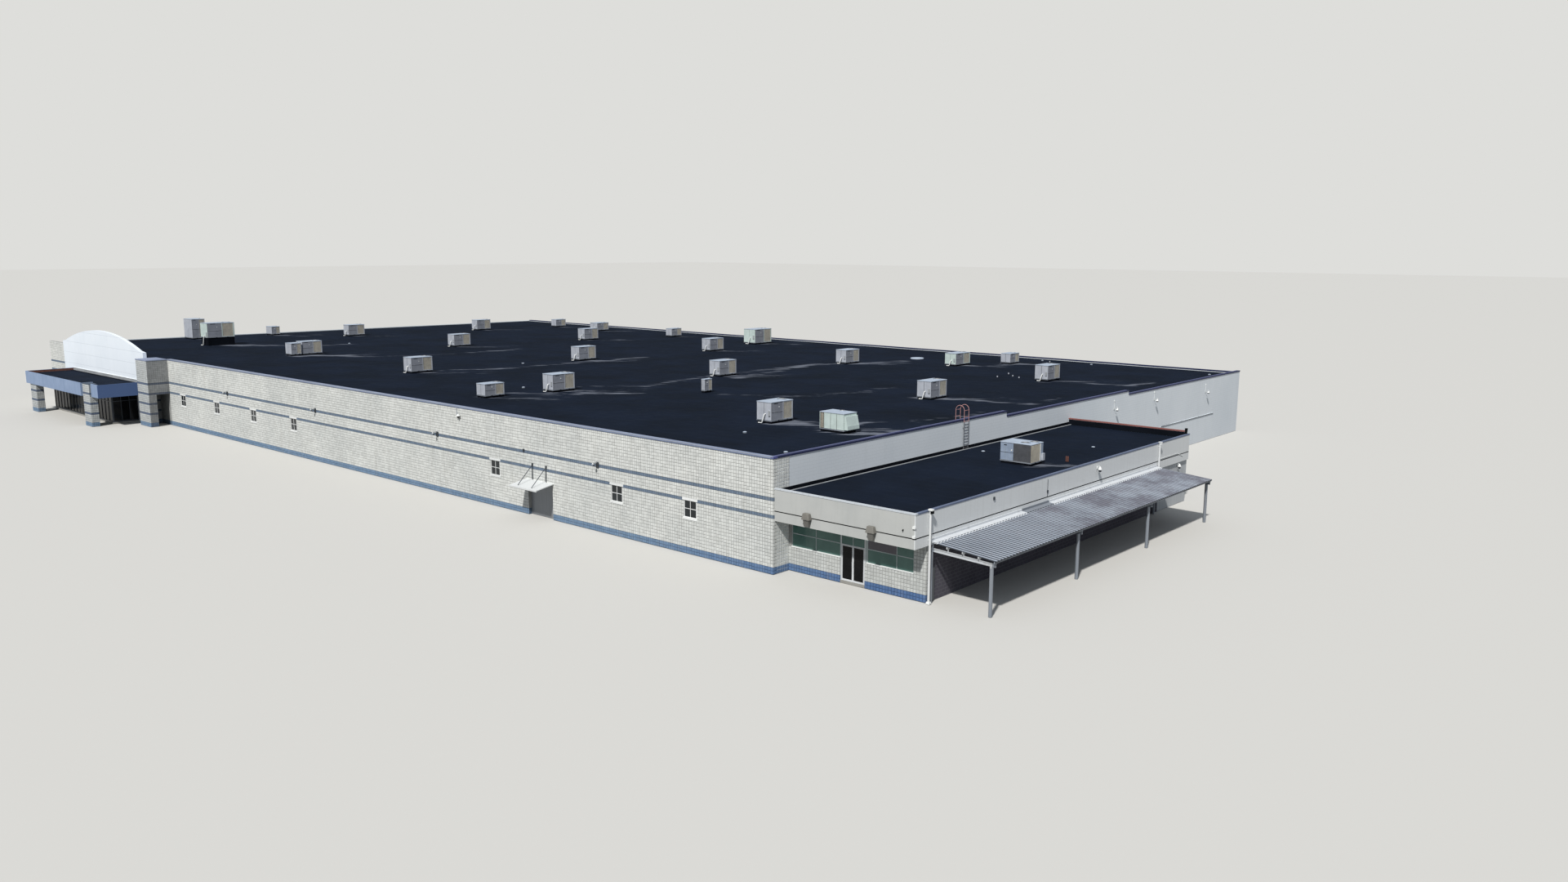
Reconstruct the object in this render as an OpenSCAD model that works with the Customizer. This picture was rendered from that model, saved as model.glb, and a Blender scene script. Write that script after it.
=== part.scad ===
// Single-storey supermarket building with an arched entrance, a glazed annex
// and a ribbed lean-to canopy, as a 1:10 scale model.
// One millimetre of the model is one centimetre of the building.
// Positions are measured from the near corner, where the long front wall meets
// the right side wall: west is to the left along the front, north is inwards.

/* [Blocks and walls] */
// Height of one course of wall blocks
course_h = 20.32; // [19:0.01:21]
// Courses from the ground to the top of the front wall
wall_courses = 33; // [30:1:36]
// Thickness of the outer walls
wall_t = 30; // [24:1:40]
// Thickness of the low walls and side walls of the annex
thin_wall_t = 20; // [16:1:26]

/* [Main block] */
// Width of the plain wall to the left of the arch
end_w = 890; // [850:10:1200]
// Depth of the main block from front to back
main_d = 7100; // [6900:10:7400]
// Thickness of the ground floor slabs
floor_t = 15; // [10:1:20]
// Thickness of the roof deck with its insulation
roof_t = 30; // [20:1:40]
// Drop from the front wall's top to the roof at the front
roof_drop = 38; // [30:1:48]
// Fall of the roof from the front to the back
roof_fall = 48; // [40:1:56]
// Distance from the front to the first step of the side wall
side_step_1 = 2530; // [2300:10:2700]
// Distance from the front to the second step of the side wall
side_step_2 = 4540; // [4300:10:4700]
// Drop of the side wall's top at the first step
step_drop_1 = 33; // [20:1:36]
// Drop of the side wall's top at the second step
step_drop_2 = 31; // [20:1:34]
// Height of the back and party walls above the roof
back_lip = 10; // [6:1:16]
// Height of the metal coping on the parapets
coping_h = 9; // [6:0.5:12]
// Overhang of the coping on each face
coping_out = 4; // [2:0.5:8]
// Gap left between neighbouring pieces that do not touch
seat_gap = 0.3; // [0.2:0.05:0.5]

/* [Front windows] */
// Width of a front window
window_w = 110; // [96:1:120]
// Height of a front window in courses
window_courses = 6; // [4:1:8]
// Course whose top is level with the window heads
window_head_course = 17; // [15:1:20]
// Distance from the near corner to the first window's centre
pair_x = 670; // [500:10:800]
// Distance between the first two windows
pair_pitch = 670; // [500:10:800]
// Distance from the near corner to the window beside the recess
single_x = 2650; // [2560:10:2900]
// Distance from the entrance tower to the nearest window of the far row
row_end = 320; // [280:10:400]
// Distance between the windows of the far row
row_pitch = 770; // [500:10:800]
// Number of windows in the far row
row_n = 4; // [1:1:4]
// Width of the frame members
window_bar = 6.5; // [5:0.5:9]
// Height of the head member over a window
head_h = 16; // [8:0.5:18]
// Thickness of the glass panes
glass_t = 2; // [1:0.5:3]

/* [Recessed service door] */
// Distance from the near corner to the recess
recess_x = 2000; // [1900:10:2100]
// Width of the recess
recess_w = 270; // [240:5:320]
// Height of the recess in courses
recess_courses = 12; // [11:1:14]
// Depth of the recess behind the front face
recess_d = 22; // [20:1:60]
// Thickness of the service door's panel
service_t = 6; // [4:1:10]
// Thickness of the door leaves
leaf_t = 5; // [4:0.5:6]
// Depth of the awning in front of the wall
awning_d = 150; // [100:5:200]
// Extra width of the awning on each side of the recess
awning_side = 15; // [5:1:30]
// Height of the awning above the recess where it meets the wall
awning_up = 10; // [8:1:40]
// Fall of the awning from the wall to its front edge
awning_fall = 26; // [5:1:40]
// Height of the anchors of the awning rods above the awning
rod_rise = 106; // [80:1:140]
// Distance between the two hanger rods
rod_pitch = 150; // [120:1:180]
// Diameter of the awning rods
rod_dia = 5; // [4:0.5:8]

/* [Entrance] */
// Distance from the near corner to the entrance tower
tower_x = 8270; // [8200:10:8400]
// Width of the entrance tower
tower_w = 270; // [220:5:320]
// Projection of the tower in front of the front wall
tower_out = 205; // [190:1:240]
// Height of the niche behind the tower's pier in courses
niche_courses = 16; // [12:1:18]
// Distance from the front wall's face forward to the arch wall's face
arch_out = 130; // [100:1:160]
// Thickness of the arch wall
arch_t = 35; // [25:1:50]
// Width of the arch wall
arch_w = 2320; // [2200:10:2500]
// Height of the arch wall's shoulders above the front wall
shoulder_up = 75; // [50:1:100]
// Width of each shoulder beside the arch
arch_shoulder_w = 110; // [60:5:160]
// Rise of the arch above its shoulders
arch_rise = 155; // [100:1:220]
// Width of the opening in the wall inside the vestibule
lobby_w = 900; // [600:10:1200]
// Height of the opening in the wall inside the vestibule
lobby_h = 260; // [220:1:280]

/* [Portico] */
// Width of the portico
portico_w = 2060; // [2000:10:2150]
// Distance from the front wall's face forward to the portico's face
portico_out = 580; // [520:5:640]
// Height of the underside of the portico's fascia
fascia_z = 305; // [280:1:320]
// Height of the portico's fascia
fascia_h = 130; // [90:1:160]
// Thickness of the fascia boards
fascia_t = 12; // [8:1:20]
// Set-back of the short fascia piece at the corner by the tower
fascia_set = 35; // [20:1:50]
// Depth of the portico's roof below the top of its fascia
portico_roof_drop = 26; // [6:1:40]
// Thickness of the portico's roof deck
portico_roof_t = 14; // [10:1:20]
// Width of the portico's block columns
column_w = 180; // [140:5:220]
// Depth of the portico's block columns
column_d = 72; // [60:1:80]
// Distance from the portico's end to the column by the tower
column_in = 190; // [150:5:240]
// Distance from the portico's far end to its far column
far_column_in = 100; // [70:5:200]

/* [Vestibule] */
// Distance from the tower's side to the vestibule
vestibule_in = 240; // [200:5:300]
// Width of the glazed vestibule
vestibule_w = 1690; // [1600:10:1760]
// Distance from the front wall's face forward to the vestibule's glazing
vestibule_out = 385; // [360:5:410]
// Number of glazing bays along the vestibule's front
vestibule_bays = 18; // [14:2:22]
// Number of glazing bays on each side of the vestibule
vestibule_side_bays = 3; // [2:1:4]
// Bay, counted from the tower, at which the entrance doors start
entrance_bay = 8; // [6:1:10]
// Height of the entrance door leaves
entrance_h = 213; // [200:1:225]
// Width of the metal storefront members
bar_w = 6; // [4:0.5:8]
// Depth of the metal storefront members
bar_d = 10; // [8:0.5:14]
// Height of the dark base under the vestibule's glass
kick_h = 14; // [10:1:20]

/* [Annex] */
// Depth of the annex from the front wall line to its back
annex_d = 3500; // [3300:10:3700]
// Distance from the front wall's face back to the annex glazing
annex_set = 137; // [110:1:180]
// Distance from the front wall's face back to the annex fascia
annex_fascia_set = 10; // [5:1:20]
// Height of the annex soffit
soffit_z = 313; // [300:1:325]
// Height of the top of the annex fascia
annex_top_z = 495; // [460:1:530]
// Height of the dark reveal in the fascia
reveal_z = 368; // [350:1:390]
// Height of the reveal groove
reveal_h = 4; // [3:0.5:6]
// Depth of the reveal groove
reveal_d = 3; // [2:0.5:5]
// Drop from the fascia's top to the annex roof
annex_roof_drop = 24; // [15:1:35]
// Height of the annex back parapet above the fascia
annex_back_up = 20; // [10:1:30]
// Courses of the low walls under the annex windows
sill_courses = 7; // [5:1:8]
// Width of the pier between the main block and the left window group
left_pier_w = 21; // [18:1:40]
// Width of the left window group
group_left_w = 356; // [320:1:370]
// Width of the annex doorway frame
door_w = 170; // [160:1:180]
// Height of the annex door leaves
door_h = 205; // [195:1:212]
// Width of the post between the doorway and the right window group
door_post_w = 13; // [8:1:20]
// Width of the right window group
group_right_w = 310; // [280:1:330]
// Width of the block pier at the outer corner
corner_pier_w = 80; // [40:1:120]
// Height of the window transom bar
transom_z = 219; // [210:1:240]

/* [Canopy] */
// Distance from the front wall line to the canopy's front end
canopy_y = 145; // [120:5:200]
// Length of the canopy along the annex
canopy_l = 2800; // [2600:10:2900]
// Width of the canopy from the annex to its outer edge
canopy_w = 395; // [360:5:440]
// Height of the canopy's deck above the annex soffit, at the annex
canopy_up = 19; // [15:1:30]
// Fall of the canopy's deck from the annex to its outer edge
canopy_fall = 35; // [20:1:50]
// Number of ribs along the canopy
rib_n = 92; // [60:2:110]
// Height of the ribs
rib_h = 3.5; // [2:0.5:5]
// Thickness of the canopy's sheeting
sheet_t = 1.5; // [1:0.25:3]
// Number of purlins under the sheeting
purlin_n = 5; // [4:1:6]
// Height of the purlins
purlin_h = 12; // [8:1:16]
// Height of the rake beams
beam_h = 18; // [14:1:22]
// How much farther the rake beams hang below the sheeting at the annex than at the outer edge
rake_drop = 18; // [0:1:24]
// Width of the flashing on the sheeting along the annex
flashing_w = 40; // [20:1:60]
// Number of outer posts
post_n = 4; // [3:1:5]
// Diameter of the outer posts
post_dia = 20; // [14:1:26]
// Height of the white flashing along the annex
flashing_h = 16; // [10:1:20]

/* [Roof equipment] */
// Width of a standard rooftop unit
unit_w = 140; // [120:5:180]
// Length of a standard rooftop unit from front to back
unit_l = 232; // [200:2:260]
// Height of a standard rooftop unit above the roof
unit_h = 152; // [130:1:170]
// Width of a small rooftop unit
small_w = 121; // [100:1:135]
// Length of a small rooftop unit from front to back
small_l = 187; // [160:1:200]
// Height of a small rooftop unit above the roof
small_h = 116; // [100:1:128]
// Height of the curb under a unit
curb_h = 16; // [10:1:24]
// Length of the arm of a wall light
light_arm = 34; // [24:1:48]
// Width of the ladder up the side wall
ladder_w = 42; // [36:1:56]
// Distance from the front wall line to the ladder
ladder_y = 1950; // [1800:10:2200]
// Diameter of the ladder's rails
rail_dia = 5; // [4:0.5:7]

/* [Hidden] */

wall_h = wall_courses * course_h;
side_mid_h = wall_h - step_drop_1;
side_back_h = side_mid_h - step_drop_2;
roof_back_z = wall_h - roof_drop - roof_fall;
back_wall_h = roof_back_z + back_lip;
window_h = window_courses * course_h;
window_z = window_head_course * course_h - window_h;
recess_h = recess_courses * course_h;
niche_h = niche_courses * course_h;
sill_z = sill_courses * course_h;
window_centres = concat(
    [pair_x, pair_x + pair_pitch, single_x],
    [for (i = [row_n - 1:-1:0]) tower_x - row_end - i * row_pitch]
);
arch_right = tower_x + tower_w;
arch_left = arch_right + arch_w;
arch_shoulder_z = wall_h + shoulder_up;
main_w = arch_left + end_w;
arch_back = arch_out - arch_t;
portico_right = arch_right + seat_gap;
portico_left = portico_right + portico_w;
fascia_top = fascia_z + fascia_h;
column_right = portico_right + column_in;
column_left = portico_left - far_column_in - column_w;
column_end = column_right + column_w + seat_gap;
column_out = 15;
column_front = column_d - column_out;
vestibule_right = arch_right + vestibule_in;
vestibule_left = vestibule_right + vestibule_w;
vestibule_top = fascia_z;
vestibule_pitch = (vestibule_w - bar_w) / vestibule_bays;
first_door_bay = vestibule_bays - entrance_bay - 2;
entrance_left = vestibule_left - bar_w - first_door_bay * vestibule_pitch;
entrance_w = 2 * vestibule_pitch - bar_w;
recess_depth = recess_d + 3 * service_t - wall_t;
lobby_x = vestibule_right + (vestibule_w - lobby_w) / 2;
awning_z = recess_h + awning_up;
door_x = left_pier_w + group_left_w;
group_right_x = door_x + door_w + door_post_w;
annex_w = group_right_x + group_right_w + corner_pier_w;
annex_roof_z = annex_top_z - annex_roof_drop;
canopy_wall_z = soffit_z + canopy_up;
canopy_x = annex_w + fascia_t + seat_gap;
canopy_slope = norm([canopy_w, canopy_fall]);
canopy_angle = atan(canopy_fall / canopy_w);
rake_angle = atan(rake_drop / canopy_slope);
leaf_gap = 0.6;
curb_seat = 0.05;
storefront_back = 4;
frame_set = 2;
trim_d = 4;
frame_d = 14;
glass_y = frame_set + 6;
glass_back = bar_d / 2;
pane_t = 1.5;
sill_t = 6;
beam_w = 9;
flashing_d = 6;
post_end = 16;
post_in = 31;
lamp_pole_d = 13;
inner_post_d = 18;
stud_h = 3;
purlin_w = 6;

// Height of the roof's upper face at a distance behind the front wall's face.
function roof_z(y) = wall_h - roof_drop - roof_fall * y / main_d;

// Places what follows so that the origin is under the middle of the main block.
module from_corner() {
    translate([main_w / 2, -main_d / 2, 0]) children();
}

// A box from the low corner (west x, south y, z) given with positive distances to the west.
module block(west, south, low, size) {
    translate([-west, south, low]) cube(size);
}

// A plate that runs along X with its outline drawn in the Y and Z plane.
module side_profile(west, length, points) {
    translate([-west, 0, 0]) rotate([90, 0, 90]) linear_extrude(length) polygon(points);
}

// Ground slab of the main block between its walls.
module main_floor() {
    color("#8f8f8b") from_corner() difference() {
        block(main_w - wall_t, wall_t, 0, [main_w - 2 * wall_t, main_d - 2 * wall_t, floor_t]);
        block(recess_x + recess_w + wall_t, wall_t - 1, -1,
              [recess_w + 2 * wall_t, recess_depth + 1, floor_t + 2]);
    }
}

// Openings for the front windows that lie between two distances from the corner.
module window_cuts(near, far) {
    for (x = window_centres)
        if (x > near && x < far)
            block(x + window_w / 2, -1, window_z, [window_w, wall_t + 2, window_h]);
}

// Front wall from the service recess to the entrance tower's far side.
module front_wall_left() {
    near = recess_x + recess_w;
    color("#d9dbd7") from_corner() difference() {
        block(arch_right, 0, 0, [arch_right - near, wall_t, wall_h]);
        window_cuts(near, arch_right);
    }
}

// Wall above the service recess.
module front_wall_over_recess() {
    color("#d9dbd7") from_corner()
        block(recess_x + recess_w, 0, recess_h, [recess_w, wall_t, wall_h - recess_h]);
}

// Front wall from the near corner to the service recess.
module front_wall_right() {
    color("#d9dbd7") from_corner() difference() {
        block(recess_x, 0, 0, [recess_x, wall_t, wall_h]);
        window_cuts(0, recess_x);
    }
}

// Side reveals and ceiling of the service recess.
module door_recess() {
    far = recess_x + recess_w;
    color("#c9cac6") from_corner() difference() {
        block(far + wall_t, wall_t, 0, [recess_w + 2 * wall_t, recess_depth, recess_h + wall_t]);
        block(far, wall_t - 1, -1, [recess_w, recess_depth + 2, recess_h + 1]);
    }
}

// Plain closed service door that fills the back of the recess.
module service_door() {
    color("#c4c7c8") from_corner()
        block(recess_x + recess_w - seat_gap, recess_d, seat_gap,
              [recess_w - 2 * seat_gap, service_t, recess_h - 2 * seat_gap]);
}

// Sloping plate with a turned-down edge over the service recess.
module door_awning() {
    w = recess_w + 2 * awning_side;
    color("#e6e7e6") from_corner()
        side_profile(recess_x + recess_w + awning_side, w, [
            [0, awning_z],
            [-awning_d, awning_z - awning_fall],
            [-awning_d, awning_z - awning_fall - 10],
            [-awning_d + 4, awning_z - awning_fall - 10],
            [-awning_d + 4, awning_z - awning_fall - 5],
            [0, awning_z - 6]
        ]);
}

// A round rod between two points.
module rod(a, b, dia) {
    d = b - a;
    l = norm(d);
    translate(a)
        rotate([0, acos(d[2] / l), atan2(d[1], d[0])])
            cylinder(h = l, d = dia, $fn = 24);
}

// Two sloping hanger rods with wall plates and upright stays for the awning.
module awning_rods() {
    centre = recess_x + recess_w / 2;
    reach = awning_d * 0.87;
    plate_z = awning_z - awning_fall * reach / awning_d + rod_dia / 2;
    top_z = awning_z + rod_rise;
    color("#8e9092") from_corner()
        for (side = [-1, 1])
            translate([-centre + side * rod_pitch / 2, 0, 0]) union() {
                rod([0, -3, top_z], [0, -reach, plate_z], rod_dia);
                rod([0, -7, awning_z - 0.5], [0, -7, top_z], rod_dia);
                translate([-6, -8, top_z - 8]) cube([12, 8, 16]);
            }
}

// White frame of one front window: outer frame, cross bar, head trim and sill.
module window_frame() {
    pane_w = (window_w - 3 * window_bar) / 2;
    pane_h = (window_h - 2 * window_bar - head_h) / 2;
    inner_w = window_w - 2 * window_bar;
    inner_h = window_h - window_bar - head_h;
    head_z = window_h - head_h + 1;
    union() {
        difference() {
            translate([-window_w / 2, 0, 0]) cube([window_w, frame_set + frame_d, window_h]);
            translate([-window_w / 2 - 1, -1, 2]) cube([window_w + 2, frame_set + 1, window_h - 4]);
            for (i = [0, 1])
                for (j = [0, 1])
                    translate([
                        -inner_w / 2 + i * (pane_w + window_bar), -1, window_bar + j * (pane_h + window_bar)
                    ]) cube([pane_w, frame_d, pane_h]);
            translate([-inner_w / 2, glass_y, window_bar]) cube([inner_w, frame_d, inner_h]);
        }
        translate([-window_w / 2, -trim_d, head_z]) cube([window_w, trim_d + frame_set + 1, head_h - 1]);
        translate([-window_w / 2 - 10, -trim_d, head_z]) cube([window_w + 20, trim_d, head_h]);
        translate([-window_w / 2 - 5, -trim_d - 1, -10]) cube([window_w + 10, trim_d + 1, 14]);
    }
}

// Frames of all the front windows.
module window_frames() {
    color("#f0f1f0") from_corner()
        for (x = window_centres) translate([-x, 0, window_z]) window_frame();
}

// One dark sheet of glass behind the bars of each front window.
module window_glass() {
    inner_w = window_w - 2 * window_bar;
    color("#1c2424") from_corner()
        for (x = window_centres)
            block(x + inner_w / 2, glass_y, window_z + window_bar,
                  [inner_w, glass_t, window_h - window_bar - head_h]);
}

// Right side wall, whose top steps down twice towards the back, with a low ledge near the back.
module side_wall() {
    color("#b4b9bb") from_corner() union() {
        side_profile(wall_t, wall_t, [
            [wall_t, 0],
            [main_d, 0],
            [main_d, side_back_h],
            [side_step_2, side_back_h],
            [side_step_2, side_mid_h],
            [side_step_1, side_mid_h],
            [side_step_1, wall_h],
            [wall_t, wall_h]
        ]);
        block(1, side_step_2 + 690, 249, [5, 1220, 6]);
    }
}

// Plain back wall.
module back_wall() {
    color("#b4b9bb") from_corner()
        block(main_w - wall_t, main_d - wall_t, 0, [main_w - 2 * wall_t, wall_t, back_wall_h]);
}

// Plain party wall at the far left, with a top that follows the roof.
module party_wall() {
    color("#b4b9bb") from_corner()
        side_profile(main_w, wall_t, [
            [wall_t, 0],
            [main_d, 0],
            [main_d, back_wall_h],
            [wall_t, roof_z(wall_t) + back_lip]
        ]);
}

// Plain front wall to the left of the arch.
module front_wall_end() {
    color("#c9cac6") from_corner()
        block(main_w, 0, 0, [main_w - arch_left, wall_t, wall_h]);
}

// Wall under the arch with the opening into the shop and the return at its left end.
module entrance_wall() {
    color("#dfe5ea") from_corner() difference() {
        union() {
            block(arch_left, -arch_out, 0, [arch_w, arch_t, fascia_top]);
            block(arch_left, -arch_back, 0, [wall_t, arch_back, wall_h]);
        }
        block(lobby_x + lobby_w, -arch_out - 1, -1, [lobby_w, arch_t + 2, lobby_h + 1]);
    }
}

// Arch gable: a flat panel with sloping shoulders under the segment of a true circle.
module arch_gable() {
    shoulder_fall = 12;
    arc_past = 10;
    chord = arch_w - 2 * arch_shoulder_w;
    half = chord / 2 + arc_past;
    radius = (half * half + arch_rise * arch_rise) / (2 * arch_rise);
    color("#e6eef6") from_corner() translate([-arch_left, -arch_back, 0]) union() {
        rotate([90, 0, 0]) linear_extrude(arch_t) polygon([
            [0, fascia_top],
            [0, arch_shoulder_z - shoulder_fall],
            [arch_shoulder_w, arch_shoulder_z],
            [arch_w - arch_shoulder_w, arch_shoulder_z],
            [arch_w, arch_shoulder_z - shoulder_fall],
            [arch_w, fascia_top]
        ]);
        intersection() {
            translate([arch_w / 2, 0, arch_shoulder_z + arch_rise - radius])
                rotate([90, 0, 0]) cylinder(h = arch_t, r = radius, $fn = 360);
            translate([arch_shoulder_w, -arch_t, arch_shoulder_z - shoulder_fall])
                cube([chord, arch_t, arch_rise + 2 * shoulder_fall]);
        }
    }
}

// Block tower beside the entrance: a pier in front and a niche behind it, open to the right.
module entrance_tower() {
    color("#d9dbd7") from_corner() difference() {
        block(arch_right, -tower_out, 0, [tower_w, tower_out, wall_h]);
        block(arch_right - thin_wall_t, -arch_out, -1,
              [tower_w - thin_wall_t + 1, arch_out + 1, niche_h + 1]);
    }
}

// Roof deck of the main block, falling towards the back, and its part behind the arch.
module main_roof() {
    color("#252e42") from_corner() union() {
        side_profile(main_w - wall_t, main_w - 2 * wall_t, [
            [wall_t, roof_z(wall_t) - roof_t],
            [main_d - wall_t, roof_z(main_d - wall_t) - roof_t],
            [main_d - wall_t, roof_z(main_d - wall_t)],
            [wall_t, roof_z(wall_t)]
        ]);
        block(arch_left - wall_t, -arch_back, roof_z(wall_t) - roof_t,
              [arch_w - wall_t, arch_back + wall_t, roof_t]);
    }
}

// Coping along the side, between two distances from the front.
module side_coping(from, to, top) {
    block(wall_t + coping_out, from, top, [wall_t + 2 * coping_out, to - from, coping_h]);
}

// Metal copings on the front, side, back and party walls and on the tower.
module parapet_copings() {
    front_len = tower_x - seat_gap;
    color("#8a94b0") from_corner() union() {
        block(front_len, -coping_out, wall_h,
              [front_len + coping_out, wall_t + 2 * coping_out, coping_h]);
        side_coping(wall_t + coping_out + seat_gap, side_step_1 + coping_out, wall_h);
        side_coping(side_step_1 + coping_out, side_step_2 + coping_out, side_mid_h);
        side_coping(side_step_2 + coping_out, main_d + coping_out, side_back_h);
        block(main_w - wall_t - seat_gap, main_d - wall_t - coping_out, back_wall_h,
              [main_w - 2 * wall_t - 2 * seat_gap, wall_t + 2 * coping_out, coping_h]);
        block(arch_right, -tower_out - coping_out, wall_h,
              [tower_w + coping_out, tower_out - seat_gap, coping_h]);
    }
}

// Floor of the vestibule and of the lobby behind the arch wall.
module entrance_floor() {
    color("#8f8f8b") from_corner() union() {
        block(vestibule_left, -vestibule_out, 0, [vestibule_w, vestibule_out - arch_out, floor_t]);
        block(lobby_x + lobby_w, -arch_out, 0, [lobby_w, arch_t, floor_t]);
        block(arch_left - wall_t, -arch_back, 0, [arch_w - wall_t, arch_back, floor_t]);
        block(arch_left, 0, 0, [arch_w, wall_t, floor_t]);
    }
}

// Roof deck and soffit of the portico, cut back round the column near the tower.
module portico_roof() {
    left_w = portico_left - fascia_t - column_end;
    right_w = column_end - portico_right - fascia_t;
    left_front = portico_out + fascia_set - fascia_t;
    right_front = portico_out - fascia_t;
    color("#2c2a30") from_corner() difference() {
        for (layer = [[fascia_top - portico_roof_drop - portico_roof_t, portico_roof_t], [fascia_z, 6]]) {
            block(portico_left - fascia_t, -left_front, layer[0],
                  [left_w, left_front - arch_out, layer[1]]);
            block(column_end, -right_front, layer[0], [right_w, right_front - arch_out, layer[1]]);
        }
        block(column_end, -portico_out - fascia_set, fascia_z - 1,
              [column_w + 2 * seat_gap, column_front + seat_gap + fascia_set, fascia_h + 2]);
        block(column_end + fascia_t, -portico_out - fascia_set, fascia_z - 1,
              [fascia_t + 1, fascia_set + fascia_t + column_d, fascia_h + 2]);
    }
}

// Fascia boards round the portico, broken by the column near the tower.
module portico_fascia() {
    color("#8aa6d0") from_corner() union() {
        block(portico_left, -portico_out - fascia_set, fascia_z,
              [portico_left - column_end, fascia_t, fascia_h]);
        block(column_end + fascia_t, -portico_out - fascia_set, fascia_z,
              [fascia_t, fascia_set + fascia_t + column_d, fascia_h]);
        block(portico_left, -portico_out - fascia_set, fascia_z,
              [fascia_t, portico_out + fascia_set - arch_out, fascia_h]);
        block(portico_right + fascia_t, -portico_out, fascia_z,
              [fascia_t, portico_out - arch_out, fascia_h]);
        block(column_right - seat_gap, -portico_out, fascia_z,
              [column_right - seat_gap - portico_right, fascia_t, fascia_h]);
    }
}

// Two block columns that carry the portico's front.
module portico_columns() {
    color("#d9dbd7") from_corner() union() {
        block(column_right + column_w, -portico_out - column_out, 0, [column_w, column_d, fascia_top]);
        block(column_left + column_w, -portico_out - fascia_set + fascia_t + seat_gap, 0,
              [column_w, column_d, fascia_z - seat_gap]);
    }
}

// One flat storefront panel along X: bars in front, a sheet of glass behind them, low and high rows.
module glazed_panel(width, bays, low, top, bar_z) {
    pitch = (width - bar_w) / bays;
    difference() {
        translate([0, 0, low]) cube([width, bar_d, top - low]);
        for (i = [0:bays - 1]) {
            translate([bar_w + i * pitch, -1, low + kick_h])
                cube([pitch - bar_w, bar_d, bar_z - low - kick_h]);
            translate([bar_w + i * pitch, -1, bar_z + bar_w])
                cube([pitch - bar_w, bar_d, top - bar_z - 2 * bar_w]);
        }
        for (row = [[low + kick_h, bar_z], [bar_z + bar_w, top - bar_w]])
            translate([bar_w, glass_back, row[0]])
                cube([width - 2 * bar_w, bar_d, row[1] - row[0]]);
    }
}

// The two sheets of glass of one storefront panel, the low one in two parts beside a doorway.
module panel_glass(width, low, top, bar_z, door_from, door_to) {
    part_l = door_from - 2 * bar_w;
    translate([bar_w, glass_back, bar_z + bar_w])
        cube([width - 2 * bar_w, glass_t, top - bar_z - 2 * bar_w]);
    translate([bar_w, glass_back, low + kick_h])
        cube([door_from > 0 ? part_l : width - 2 * bar_w, glass_t, bar_z - low - kick_h]);
    if (door_from > 0)
        translate([door_to + bar_w, glass_back, low + kick_h])
            cube([width - door_to - 2 * bar_w, glass_t, bar_z - low - kick_h]);
}

// Places a panel drawn along X on the right and on the left side of the vestibule.
module on_vestibule_sides() {
    translate([-vestibule_right, bar_d - vestibule_out, 0]) rotate([0, 0, 90]) children();
    translate([-vestibule_left, bar_d - vestibule_out, 0]) mirror([1, 0, 0]) rotate([0, 0, 90]) children();
}

// Metal frame of the vestibule on three sides, open where the entrance doors hang.
module vestibule_frame() {
    depth = vestibule_out - arch_out - bar_d;
    bar_z = floor_t + entrance_h;
    color("#8d9296") from_corner() difference() {
        union() {
            translate([-vestibule_left, -vestibule_out, 0])
                glazed_panel(vestibule_w, vestibule_bays, floor_t, vestibule_top, bar_z);
            for (x = [entrance_left + bar_w, entrance_left - entrance_w])
                block(x, -vestibule_out, floor_t, [bar_w, bar_d, entrance_h]);
            on_vestibule_sides()
                glazed_panel(depth, vestibule_side_bays, floor_t, vestibule_top, bar_z);
        }
        block(entrance_left, -vestibule_out - 1, floor_t - 1, [entrance_w, bar_d + 2, entrance_h + 1]);
    }
}

// Dark glass of the vestibule on three sides, with the doorway left clear.
module vestibule_glass() {
    depth = vestibule_out - arch_out - bar_d;
    bar_z = floor_t + entrance_h;
    door_from = vestibule_left - entrance_left;
    color("#20262a") from_corner() {
        translate([-vestibule_left, -vestibule_out, 0])
            panel_glass(vestibule_w, floor_t, vestibule_top, bar_z, door_from, door_from + entrance_w);
        on_vestibule_sides() panel_glass(depth, floor_t, vestibule_top, bar_z, 0, 0);
    }
}

// One framed door leaf with a round hinge stile, whose axis is on the Z axis.
module glass_leaf(width, height) {
    rest = width - leaf_t / 2;
    side = (leaf_t - pane_t) / 2;
    difference() {
        union() {
            cylinder(h = height, d = leaf_t, $fn = 32);
            translate([0, -leaf_t / 2, 0]) cube([rest, leaf_t, height]);
        }
        for (y = [-leaf_t / 2 - 1, pane_t / 2])
            translate([bar_w - leaf_t / 2, y, bar_w * 2])
                cube([width - 2 * bar_w, side + 1, height - 3 * bar_w]);
    }
}

// Entrance door leaf on the left, hinged at its left edge.
module entrance_door_left() {
    color("#20262a") from_corner()
        translate([leaf_gap + leaf_t / 2 - entrance_left, leaf_t / 2 - vestibule_out, floor_t + leaf_gap])
            glass_leaf(entrance_w / 2 - 1.5 * leaf_gap, entrance_h - 2 * leaf_gap);
}

// Entrance door leaf on the right, hinged at its right edge.
module entrance_door_right() {
    color("#20262a") from_corner()
        translate([
            entrance_w - entrance_left - leaf_gap - leaf_t / 2, leaf_t / 2 - vestibule_out,
            floor_t + leaf_gap
        ]) mirror([1, 0, 0]) glass_leaf(entrance_w / 2 - 1.5 * leaf_gap, entrance_h - 2 * leaf_gap);
}

// Floor slab of the annex.
module annex_floor() {
    color("#8f8f8b") from_corner() union() {
        translate([0, annex_set + thin_wall_t, 0])
            cube([annex_w - thin_wall_t, annex_d - annex_set - 2 * thin_wall_t, floor_t]);
        translate([door_x, annex_set, 0]) cube([door_w, thin_wall_t, floor_t]);
    }
}

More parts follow.
